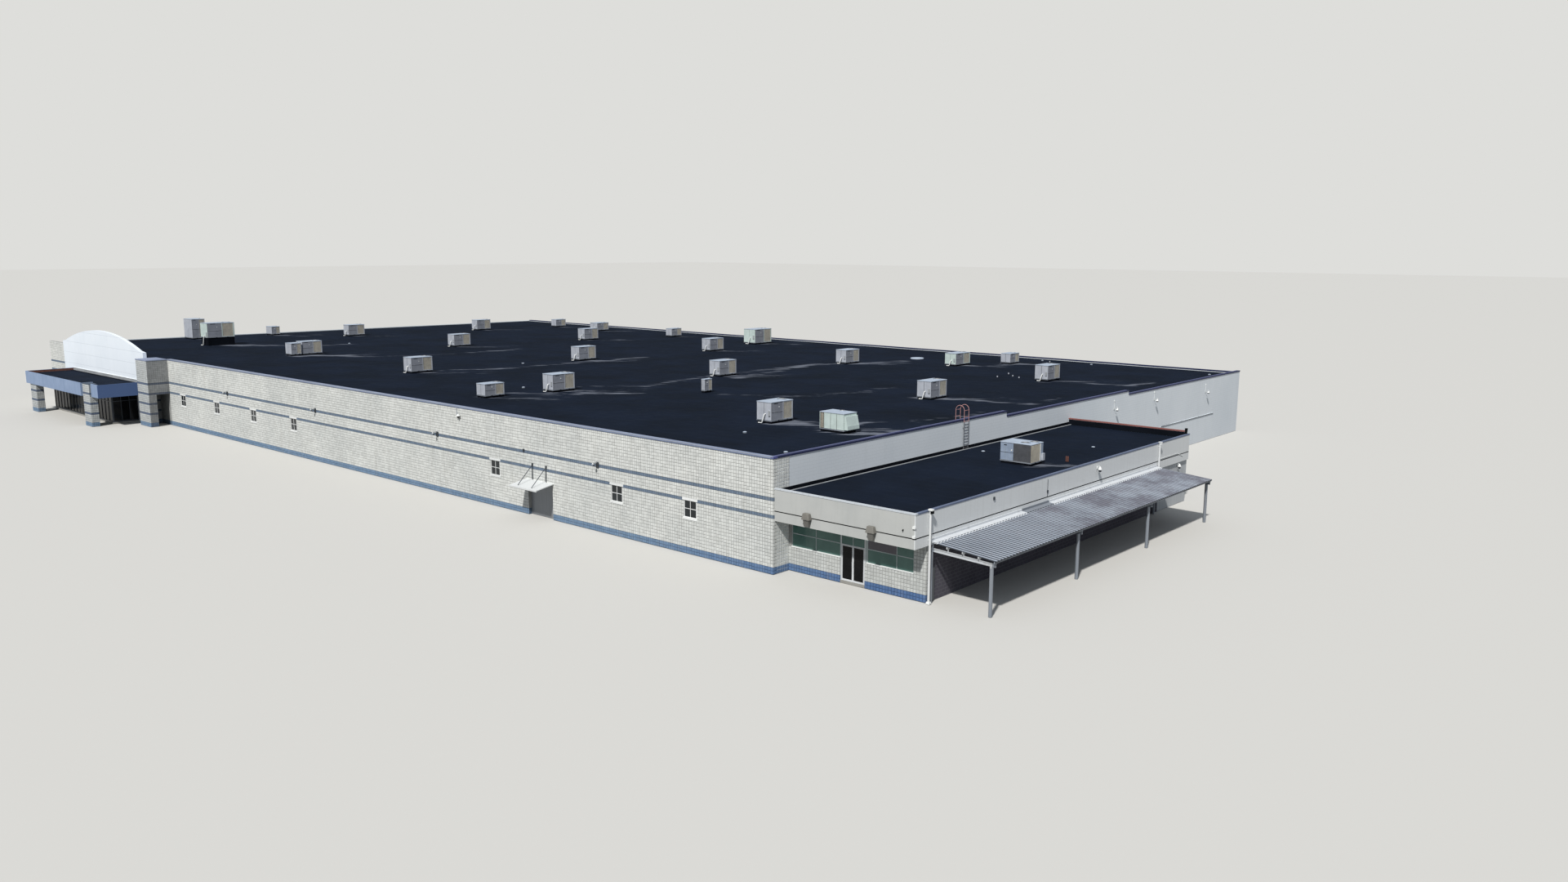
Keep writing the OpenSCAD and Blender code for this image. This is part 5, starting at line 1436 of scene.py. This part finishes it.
@dataclass
class AnnexDressing:
    """What the annex carries besides its solids: reveal, edge flashings, boxes and lamps."""

    right: float = 962.0
    front: float = 10.0
    back: float = 3500.0
    reveal: Pair = (368.0, 372.0)
    roof_edge: float = 495.0
    box_lights: Pair = (249.0, 691.0)

    def build(self) -> None:
        """Builds the doors and the trims."""
        for node, left in (("annex_door_left", True), ("annex_door_right", False)):
            DoorLeaf(node, STOREFRONT_WHITE, BLACK_GLASS, left, bar=6.0, foot_rail=10.0, mid_rail=None).build()
        self.trims()
        self.fixtures()

    def trims(self) -> None:
        """Builds the dark reveal, the roof edge flashing and the black laps at the front and back parapets."""
        kit = Kit("annex_trims")
        # The reveal strips are black as painted shade in the groove.
        low, high = self.reveal
        kit.block((0, self.front - 0.4, low - 0.8), (self.right + 0.4, self.front + 2.6, high + 0.8), GAP_BLACK, 0.2,
            (FRONT, 0.6, 0.2))
        kit.block((self.right - 2.6, self.front + 0.6, low - 0.8), (self.right + 0.4, self.back - 2, high + 0.8),
            GAP_BLACK, 0.2, (RIGHT, 0.6, 0.2))
        kit.block((929, 30, ANNEX_DECK + 1), (948, 3476, self.roof_edge + 0.5), ANNEX_COPING, 0.8,
            taper=(TOP, (0.3, 1.0, 1.0)))
        kit.block((2, 22.5, ANNEX_DECK + 1), (930, 34, self.roof_edge - 3), UPSTAND, 0.8,
            taper=(TOP, (1.0, 0.3, 1.0)))
        inner = (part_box("annex_back_wall")[0].y - CORNER.y) / MM
        kit.block((3, inner - 4, ANNEX_DECK + 1), (self.right - 14, inner + 0.4, 513), UPSTAND, 0.8,
            (FRONT, 3.0, 0.5))
        kit.close("coping_metal")

    def fixtures(self) -> None:
        """Builds the corner boxes and the small fixtures along the fascia."""
        kit = Kit("annex_fixtures")
        for z in (424, 374):
            kit.block((self.right - 14, self.front - 9, z), (self.right + 4, self.front + 1, z + 13), WHITE_METAL,
                1.0, (FRONT, 2.0, 0.8))
        kit.round((self.right - 75, self.front - 5, 402), 3.0, 6, GAP_BLACK, top=4.0, edge=0.5)
        kit.block((self.right - 78, self.front - 5, 406), (self.right - 72, self.front + 0.5, 411), GAP_BLACK, 0.5)
        for x in self.box_lights:
            kit.block((x - 28, self.front - 31, 362), (x + 28, self.front + 0.5, 398), HOOD_PAINT, 2.0,
                (FRONT, 3.0, 0.8), (TOP, (0.72, 0.7, 1.0)))
            kit.block((x - 19, self.front - 25, 322), (x + 19, self.front + 0.5, 362), BRONZE, 1.5,
                (FRONT, 3.0, 1.5), (BOTTOM, (0.85, 0.7, 1.0)))
        kit.block((self.right - 0.5, 765, 452), (self.right + 6, 779, 470), ALUMINIUM, 0.8, (RIGHT, 1.5, 0.8))
        kit.rod([(self.right + 1.2, 1386, 374), (self.right + 1.2, 1386, 478)], 1.3, ALUMINIUM)
        kit.block((self.right - 0.5, 1380, 396), (self.right + 5, 1392, 412), ALUMINIUM, 0.8, (RIGHT, 1.5, 0.8))
        for x, y, z in ((self.right, 2030, 446), (950.3, 3326, 282)):
            kit.block((x - 0.5, y - 5, z + 6), (x + 4, y + 5, z + 20), WHITE_METAL, 0.8, (RIGHT, 1.5, 0.6))
            kit.rod([(x + 2, y, z + 16), (x + 12, y, z + 24), (x + 20, y, z + 20)], 1.5, WHITE_METAL)
            kit.round((x + 20, y, z), 13, 14, WHITE_METAL, top=8, sides=24, edge=1.0)
            kit.round((x + 20, y, z + 14), 8, 6, WHITE_METAL, top=3, sides=24, edge=0.8)
            kit.round((x + 20, y, z - 14), 8, 15, ALUMINIUM, top=11, sides=24, edge=1.0)
        kit.rod([(self.right + 1.5, 3000, 383), (self.right + 1.5, 3290, 383), (self.right + 1.5, 3390, 350)], 1.6,
            WHITE_METAL)
        kit.block((940, 3464, self.roof_edge), (952, 3478, self.roof_edge + 48), GAP_BLACK, 1.0,
            taper=(TOP, (1.3, 1.6, 1.0)))
        kit.close("white_metal")


@dataclass
class AnnexGlazing:
    """The annex's shop front: slim bars, the door frame, white sills and green panes close behind the bars."""

    face: float = 141.0
    sill: float = 7 * COURSE
    transom: float = 220.0
    soffit: float = 312.5
    head: float = 217.0
    bar: float = 5.0
    groups: tuple[tuple[float, float, float], ...] = ((21.0, 377.0, 199.0), (560.0, 870.0, 757.0))
    door: Pair = (377.0, 547.0)

    def bars(self, kit: Kit, spans: Sequence[Quad], finish: Finish) -> None:
        """Adds upright and level bars given as left, right, low and high."""
        for x0, x1, z0, z1 in spans:
            kit.block((x0, self.face, z0), (x1, self.face + 10, z1), finish, 0.4)

    def build(self) -> None:
        """Builds the frame and the panes in place of their plain solids."""
        kit, glass, b = Kit("annex_shop_front"), Kit("annex_panes"), self.bar
        foot, top = self.sill + 6, self.soffit
        for left, right, middle in self.groups:
            kit.block((left, 133.0, self.sill), (right, self.face + 10, foot), WHITE_METAL, 0.6, (FRONT, 0.8, 0.3))
            self.bars(kit, ((left, left + b, foot, top), (right - b, right, foot, top),
                (middle - b / 2, middle + b / 2, foot, top), (left + b, right - b, top - b, top),
                (left + b, right - b, self.transom, self.transom + b)), MULLION)
            for x0, x1 in ((left + b, middle - b / 2), (middle + b / 2, right - b)):
                for z0, z1 in ((foot, self.transom), (self.transom + b, top - b)):
                    blank = x0 == self.groups[1][0] + b and z0 > self.transom
                    glass.block((x0 - 1, self.face + 1.5, z0 - 1), (x1 + 1, self.face + 3.2, z1 + 1),
                        BLANK_GLASS if blank else GREEN_GLASS, 0.1, (FRONT, 0.6, 0.1))
        left, right = self.door
        middle, post = (left + right) / 2, self.groups[1][0]
        self.bars(kit, ((left, left + 6, 12, top), (right - 6, right, 12, top),
            (left + 6, right - 6, self.head + 0.4, self.head + 6)), STOREFRONT_WHITE)
        self.bars(kit, ((right, post, foot - 6, top), (middle - b / 2, middle + b / 2, self.head + 6, top),
            (left + 6, right - 6, top - b, top)), MULLION)
        for x0, x1 in ((left + 6, middle - b / 2), (middle + b / 2, right - 6)):
            glass.block((x0 - 1, self.face + 1.5, self.head + 5), (x1 + 1, self.face + 3.2, top - b + 1),
                GREEN_GLASS, 0.1, (FRONT, 0.6, 0.1))
        kit.close("white_metal", "annex_storefront")
        glass.close("green_glass", "annex_glass")


@dataclass
class EntranceDressing:
    """Trims of the portico and the arch, and the glazed leaves of the entrance."""

    left: float = -10600.3
    right: float = -8540.3
    front: float = -615.0
    inner_front: float = -580.0
    step: float = -8910.3
    wall: float = -130.0
    low: float = 305.0
    high: float = 435.0
    deck: float = 409.0

    def build(self) -> None:
        """Builds the leaves, the fascia's trims and the flashings."""
        for node, left in (("entrance_door_left", True), ("entrance_door_right", False)):
            DoorLeaf(node, ALUMINIUM, BLACK_GLASS, left, bar=7.0, mid_rail=0.42).build()
        self.fascia()
        self.flashings()

    def fascia(self) -> None:
        """Builds the fascia's cap, its corner trim and its faded inner lining."""
        kit = Kit("portico_trims")
        kit.block((self.left - 1.2, self.front - 1.2, self.low - 1),
            (self.left + 10, self.front + 0.5, self.high + 1), WHITE_METAL, 0.5, (FRONT, 1.5, 0.3))
        kit.block((self.left - 1.2, self.front, self.low - 1), (self.left + 0.5, self.front + 10, self.high + 1),
            WHITE_METAL, 0.5, (LEFT, 1.5, 0.3))
        kit.block((self.left + 12, self.front + 12, self.deck + 1), (self.left + 15, self.wall, self.high - 1), RUST,
            0.4, (RIGHT, 1.5, 0.4))
        for low, high in (((self.left - 0.5, self.front - 0.8, self.high),
                (self.step, self.front + 13, self.high + 1.6)),
                ((self.left - 0.5, self.front + 13, self.high), (self.left + 13, self.wall - 1, self.high + 1.6)),
                ((self.step + 180, self.inner_front - 0.8, self.high),
                (self.right, self.inner_front + 13, self.high + 1.6)),
                ((self.right - 13, self.inner_front + 13, self.high),
                (self.right + 0.5, self.wall - 76, self.high + 1.6))):
            kit.block(low, high, BLUE_PANEL, 0.5, (TOP, 2.0, 0.3))
        kit.close("blue_fascia")

    def flashings(self) -> None:
        """Builds the metal flashing and the black lap where the portico's roof meets the arch wall."""
        kit = Kit("portico_flashings")
        kit.block((self.left + 15, self.wall - 4, self.deck + 0.5),
            (self.right - 14, self.wall - 0.2, self.high + 6), BARE_ALUMINIUM, 0.6, (FRONT, 2.0, 0.4))
        kit.block((self.left + 15, self.wall - 7, self.high + 5), (self.right - 14, self.wall - 0.2, self.high + 8),
            WHITE_METAL, 0.6, (FRONT, 0.8, 0.2))
        kit.block((self.left + 15, self.wall - 30, self.deck + 0.5), (self.right - 14, self.wall - 4, self.deck + 3),
            UPSTAND, 0.6, (TOP, 2.0, 0.3))
        kit.close("coping_metal")


@dataclass
class WallFittings:
    """Conduits, boxes and small lamps on the front wall and the side wall."""

    side_lamps: tuple[Pair, ...] = ((4270, 515), (5060, 515), (6230, 480))
    bracket: float = -3100.0
    plate_pitch: float = 305.0

    def build(self) -> None:
        """Builds the fittings and the cover plates of the copings."""
        self.conduits()
        self.front_bracket()
        self.cover_plates()

    def conduits(self) -> None:
        """Builds the conduits above the side wall's lamps, the dark rod with its clips further along the side wall,
        and the front wall's lamps.
        """
        kit = Kit("side_wall_conduits")
        for y, z in self.side_lamps:
            kit.rod([(1.6, y, z + 8), (1.6, y, z + 62)], 1.3, WHITE_METAL)
            kit.block((-0.5, y - 4, z + 62), (5, y + 4, z + 74), WHITE_METAL, 0.8, (RIGHT, 1.2, 0.6))
            kit.round((30, y, z - 9), 13, 12, WHITE_METAL, top=8, sides=24, edge=1.0)
            kit.round((30, y, z - 17), 9, 9, ALUMINIUM, top=12, sides=24, edge=1.0)
        kit.rod([(2.5, 5237, 253), (2.5, 6451, 249)], 3.0, ALUMINIUM)
        for y in (5300, 5700, 6100, 6400):
            kit.block((-0.5, y - 4, 246), (3, y + 4, 256), ALUMINIUM, 0.6, (RIGHT, 1.0, 0.4))
        kit.close("grey_metal")
        kit = Kit("front_wall_lamps")
        for x in (-1520, -3370, -5230, -6920):
            # Each lamp's dark box on the wall is its wall plate, made large enough to take in the lamp's shadow as
            # painted shadow.
            kit.block((x - 13, -9, 424), (x + 13, 0.5, 462), ALUMINIUM, 1.5, (FRONT, 3.0, 1.0))
            kit.rod([(x, -8, 456), (x, -26, 464), (x, -40, 462)], 2.4, BARE_ALUMINIUM)
            kit.round((x, -42, 450), 9, 11, BARE_ALUMINIUM, top=5, sides=20, edge=0.8)
        kit.block((-2312, -10, 438), (-2298, 0.5, 456), ALUMINIUM, 1.0, (FRONT, 1.5, 0.8))
        kit.close("dark_metal")

    def front_bracket(self) -> None:
        """Builds the lamp bracket that hangs from the front coping, with its conduit and its loop of cable."""
        x = self.bracket
        kit = Kit("front_bracket_lamp")
        kit.rod([(x, -7, 669), (x, -9, 662), (x, -9, 636)], 2.4, BARE_ALUMINIUM)
        kit.block((x - 4, -9, 616), (x + 12, 0.5, 638), BARE_ALUMINIUM, 1.0, (FRONT, 2.0, 0.8))
        kit.rod([(x + 12, -4, 630), (x + 24, -10, 631), (x + 34, -16, 626)], 1.4, WHITE_METAL)
        kit.round((x + 34, -16, 610), 15, 12, WHITE_METAL, top=9, sides=24, edge=1.0)
        kit.round((x + 34, -16, 621), 7, 5, WHITE_METAL, top=2, sides=24, edge=0.8)
        kit.round((x + 34, -16, 598), 7, 12, GAP_BLACK, top=11, sides=24, edge=1.0)
        kit.rod([(x + 3, -3, 622), (x + 1, -4, 600), (x + 8, -5, 582), (x + 18, -5, 588), (x + 22, -4, 606),
            (x + 14, -3, 622)], 0.9, GAP_BLACK)
        kit.close("white_metal")

    def cover_plates(self) -> None:
        """Builds the cover plates over the joints of the main copings, one every ten feet."""
        top, wide = WALL_TOP + 9, 10.0
        plate = Kit("coping_plate")
        plate.block((-8 - wide, -4.7, top - 9), (-8, 34.7, top + 0.7), COPING, 0.4, (TOP, 1.5, 0.2))
        made = plate.parts[0]
        count = int(8200 / self.plate_pitch)
        repeat(made, Vector((-self.plate_pitch * MM, 0, 0)), count)
        made.name = "coping_plates_front"
        settle(made)
        edge = Kit("coping_edge_front")
        # A pale strip at the top of the coping's face as a painted highlight, and a darker drip strip below it as
        # painted shadow.
        edge.block((-8268, -5.2, top - 1.2), (3.4, -3.2, top + 0.9), BARE_ALUMINIUM, 0.3, (FRONT, 0.5, 0.2))
        edge.block((-8268, -5.6, top - 10.5), (3.6, -3.0, top - 6.5), EDGE_PAINT, 0.3, (FRONT, 0.6, 0.2))
        edge.close("coping_metal")


@dataclass
class FrontWindows:
    """The seven front windows: outer frame, slim cross bars, head trim and sill, with panes close behind."""

    low: float = 11 * COURSE
    high: float = 17 * COURSE
    frame: float = 6.0
    bar: float = 3.6
    head: float = 14.0

    def build(self) -> None:
        """Models one window, copies it to the other openings and joins frames and panes."""
        kit, glass = Kit("front_window_frames"), Kit("front_window_panes")
        x, f, top = -WINDOWS[0], self.frame, self.high - self.head
        left, right, middle = x - WINDOW_WIDTH / 2, x + WINDOW_WIDTH / 2, (self.low + f + top) / 2
        for x0, x1, z0, z1 in ((left, left + f, self.low, self.high), (right - f, right, self.low, self.high),
                (left + f, right - f, self.low, self.low + f),
                (x - self.bar / 2, x + self.bar / 2, self.low + f, top),
                (left + f, right - f, middle - self.bar / 2, middle + self.bar / 2)):
            kit.block((x0, 1.0, z0), (x1, 12.0, z1), WHITE_METAL, 0.4)
        kit.block((left - 10, -4, top), (right + 10, 4, self.high + 1), WHITE_METAL, 0.6, (FRONT, 2.0, 0.5))
        kit.block((left - 5, -5, self.low - 10), (right + 5, 1.5, self.low + 4), WHITE_METAL, 0.6, (FRONT, 2.0, 0.5))
        glass.block((left + f - 1, 3.0, self.low + f - 1), (right - f + 1, 5.0, top + 1), DARK_GLASS, 0.1,
            (FRONT, 0.6, 0.1))
        for made in (kit, glass):
            first = join(made.name, made.parts)
            made.parts = [first] + [copy_to(first, Vector(((WINDOWS[0] - c) * MM, 0, 0))) for c in WINDOWS[1:]]
        kit.close("white_metal", "window_frames")
        glass.close("dark_glass", "window_glass")


@dataclass
class CanopyDressing:
    """What the canopy carries: a dark strip under the eave as painted shade, boxes at the poles and the small box
    above the flashing.
    """

    left: float = 962.3
    right: float = 1357.7
    front: float = 145.0
    back: float = 2945.0
    eave: float = 297.0
    pole: float = 972.8

    def build(self) -> None:
        """Builds the dark eave strip as painted shade under the sheet's edge, the pole boxes and the wall box."""
        kit = Kit("canopy_eave_shade_strip")
        kit.block((self.right - 7, self.front, self.eave - 7.5), (self.right - 1, self.back, self.eave - 1.5),
            ALUMINIUM, 0.6, (RIGHT, 1.5, 0.6))
        kit.close("galvanised")
        kit = Kit("pole_boxes")
        head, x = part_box("canopy_posts")[1].z / MM - 20, self.pole
        kit.block((x - 10, 120, head + 12), (x + 16, 140, head + 21), WHITE_METAL, 0.8, (TOP, 2.0, 0.4))
        kit.block((x + 4, 120.5, head - 3), (x + 16.5, 139.5, head + 12), GAP_BLACK, 0.8, (RIGHT, 2.0, 1.0))
        kit.block((x - 12, 118, 0), (x + 12, 142, 14), WHITE_METAL, 1.5, taper=(TOP, (0.8, 0.8, 1.0)))
        kit.block((966, 148, 349), (974, 160, 361), WHITE_METAL, 0.8, (RIGHT, 1.5, 0.6))
        kit.rod([(970, 154, 361), (970, 154, 384)], 1.0, WHITE_METAL)
        kit.close("white_metal")


@dataclass
class RoofLadder:
    """The ladder up the side wall: two rails that turn over the coping in hoops, rungs and hoop ties."""

    y: float = 1950.0
    width: float = 58.0
    stand: float = 9.0
    foot: float = 471.0
    top: float = 683.0
    hoop: float = 34.0
    rise: float = 58.0
    rungs: int = 10
    rail: float = 1.9

    def hoop_line(self, y: float) -> list[Place]:
        """Lists the points of one rail, from its foot over the hoop to the roof."""
        out, turn_z = self.stand, self.top + self.rise
        arc = [(out - self.hoop + self.hoop * math.cos(a), y, turn_z + self.hoop * math.sin(a))
            for a in (math.pi * part / 14 for part in range(15))]
        far = out - 2 * self.hoop
        return [(out, y, self.foot + 0.5), (out, y, turn_z)] + arc + [(far, y, roof_height(y) + 1.0)]

    def build(self) -> None:
        """Builds the ladder in place of its plain solid."""
        kit = Kit("roof_ladder_hooped")
        for y in (self.y, self.y + self.width):
            kit.rod(self.hoop_line(y), self.rail, LADDER)
            kit.block((0, y - 3, self.foot), (self.stand + 3, y + 3, self.foot + 3), LADDER, 0.5)
            kit.block((0, y - 2, 620), (self.stand, y + 2, 624), LADDER, 0.4)
        pitch = (self.top - self.foot - 12) / self.rungs
        rung = Kit("rung")
        rung.rod([(self.stand, self.y, self.foot + 14), (self.stand, self.y + self.width, self.foot + 14)], 1.5,
            LADDER)
        kit.parts.append(repeat(rung.parts[0], Vector((0, 0, pitch * MM)), self.rungs))
        for z in (self.top + 14, self.top + self.rise):
            for x in (self.stand, self.stand - 2 * self.hoop):
                kit.rod([(x, self.y, z), (x, self.y + self.width, z)], 1.5, LADDER)
        kit.close("grey_metal", "roof_ladder")


@dataclass
class Studio:
    """The plain pale floor, the soft sky, the key lamp and the camera, which was fitted to the wall corners."""

    floor_size: float = 160.0
    floor_gap: float = 0.002
    sky_strength: float = 0.42
    key_energy: float = 4.0
    key_spread: float = 3.0
    key_from: Place = (3.6, -9.2, 11.2)
    pitch: float = 0.1666
    yaw: float = 0.7177
    roll: float = -0.0040
    focal_px: float = 1429.84
    frame_px: float = 1920.0
    eye: Place = (4272.7, -4804.5, 1853.75)

    def build(self) -> None:
        """Makes the floor, the light and the camera."""
        self.floor()
        self.light()
        self.camera()
        bpy.context.scene.view_settings.view_transform = "Standard"

    def floor(self) -> None:
        """Makes the floor, paler to the camera than to the light that it throws back."""
        clear_selection()
        bpy.ops.mesh.primitive_plane_add(size=self.floor_size, location=(0.0, 0.0, -self.floor_gap))
        floor = bpy.context.object
        floor.name = "floor"
        pale = bpy.data.materials.new("plain_floor")
        pale.use_nodes = True
        tree = pale.node_tree
        shader = tree.nodes["Principled BSDF"]
        seen = add(tree, "LightPath").outputs
        direct = add(tree, "Math", {0: seen["Is Camera Ray"], 1: seen["Is Glossy Ray"]}, operation="MAXIMUM")
        tone = add(tree, "Mix", {"Factor": direct, 6: linear("#8C8B88"), 7: linear("#C4C3BF")}, data_type="RGBA")
        tree.links.new(tone.outputs[2], shader.inputs["Base Color"])
        shader.inputs["Roughness"].default_value = 0.95
        shader.inputs["Specular IOR Level"].default_value = 0.1
        paint(floor, pale)

    def light(self) -> None:
        """Makes the sky and the key lamp."""
        world = bpy.data.worlds.new("studio")
        world.use_nodes = True
        tree = world.node_tree
        sky = tree.nodes["Background"]
        sky.inputs["Color"].default_value = linear("#E3ECF8")
        sky.inputs["Strength"].default_value = self.sky_strength
        pale_back = add(tree, "Background", {"Color": linear("#DEDEDB"), "Strength": 1.0})
        seen = add(tree, "LightPath").outputs["Is Camera Ray"]
        both = add(tree, "MixShader", {0: seen, 1: sky, 2: pale_back})
        tree.links.new(both.outputs[0], tree.nodes["World Output"].inputs["Surface"])
        bpy.context.scene.world = world
        sun = bpy.data.lights.new("key", "SUN")
        sun.energy, sun.angle = self.key_energy, math.radians(self.key_spread)
        sun.color = (1.0, 0.975, 0.94)
        lamp = bpy.data.objects.new("key", sun)
        to_sun = Vector(self.key_from).normalized()
        lamp.rotation_mode = "QUATERNION"
        lamp.rotation_quaternion = to_sun.to_track_quat("Z", "Y")
        lamp.location = to_sun * 20
        bpy.context.scene.collection.objects.link(lamp)

    def camera(self) -> None:
        """Sets the camera where the photograph was taken."""
        sight = Vector((-math.sin(self.yaw), math.cos(self.yaw), 0.0))
        right = Vector((math.cos(self.yaw), math.sin(self.yaw), 0.0))
        up = Vector((0.0, 0.0, 1.0))
        ahead = math.cos(self.pitch) * sight - math.sin(self.pitch) * up
        down = -math.sin(self.pitch) * sight - math.cos(self.pitch) * up
        right_rolled = math.cos(self.roll) * right + math.sin(self.roll) * down
        down_rolled = -math.sin(self.roll) * right + math.cos(self.roll) * down
        axes = Matrix((right_rolled, -down_rolled, -ahead)).transposed()
        data = bpy.data.cameras.new("camera")
        data.sensor_width = 36.0
        data.lens = self.focal_px / self.frame_px * data.sensor_width
        data.clip_start, data.clip_end = 0.05, 300.0
        made = bpy.data.objects.new("camera", data)
        made.matrix_world = Matrix.Translation(spot(*self.eye)) @ axes.to_4x4()
        bpy.context.scene.collection.objects.link(made)
        bpy.context.scene.camera = made


FRAME_FINISHES: tuple[tuple[Surface, str], ...] = (
    (JOINTS, "front_wall_left front_wall_over_recess front_wall_right front_wall_end annex_low_walls"),
    (WHITE_BLOCK, "door_recess"),
    (TOWER_JOINTS, "entrance_tower portico_columns"),
    (GREY_WALL, "side_wall back_wall party_wall annex_back_wall"),
    (RAW_BLOCK, "annex_side_wall"),
    (WHITE_PANEL, "arch_gable entrance_wall"),
    (FASCIA_PAINT, "annex_fascia"),
    (ROOFING, "main_roof annex_roof portico_roof"),
    (COPING, "parapet_copings"),
    (ANNEX_COPING, "annex_coping"),
    (WHITE_METAL, "window_frames door_awning"),
    (STOREFRONT_WHITE, "annex_storefront"),
    (ALUMINIUM, "vestibule_frame awning_rods"),
    (BARE_ALUMINIUM, "service_door"),
    (BRONZE, "wall_lights annex_door_left annex_door_right entrance_door_left entrance_door_right"),
    (CANOPY_SHEET, "canopy_roof"),
    (ZINC, "canopy_frame canopy_posts"),
    (LADDER, "roof_ladder"),
    (BLUE_PANEL, "portico_fascia"),
    (CASING, "large_roof_units small_roof_units"),
    (CONCRETE, "main_floor annex_floor entrance_floor"),
    (DARK_GLASS, "window_glass"),
    (BLACK_GLASS, "vestibule_glass"),
    (GREEN_GLASS, "annex_glass"),
)


def main() -> None:
    """Dresses the frame, makes the studio and builds every sub-assembly in order."""
    logging.basicConfig(level=logging.INFO, format="%(message)s")
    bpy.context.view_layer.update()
    for finish, nodes in FRAME_FINISHES:
        for name in nodes.split():
            paint(frame["nodes"][name], finish.build())
    Studio().build()
    plant = RoofPlant()
    for part in (plant, AnnexDressing(), AnnexGlazing(), EntranceDressing(), WallFittings(), FrontWindows(),
                 RoofLadder(), CanopyDressing(), PaintedBlockWork(), RoofSkin(units=plant.sources())):
        part.build()


if __name__ == "__main__":
    main()
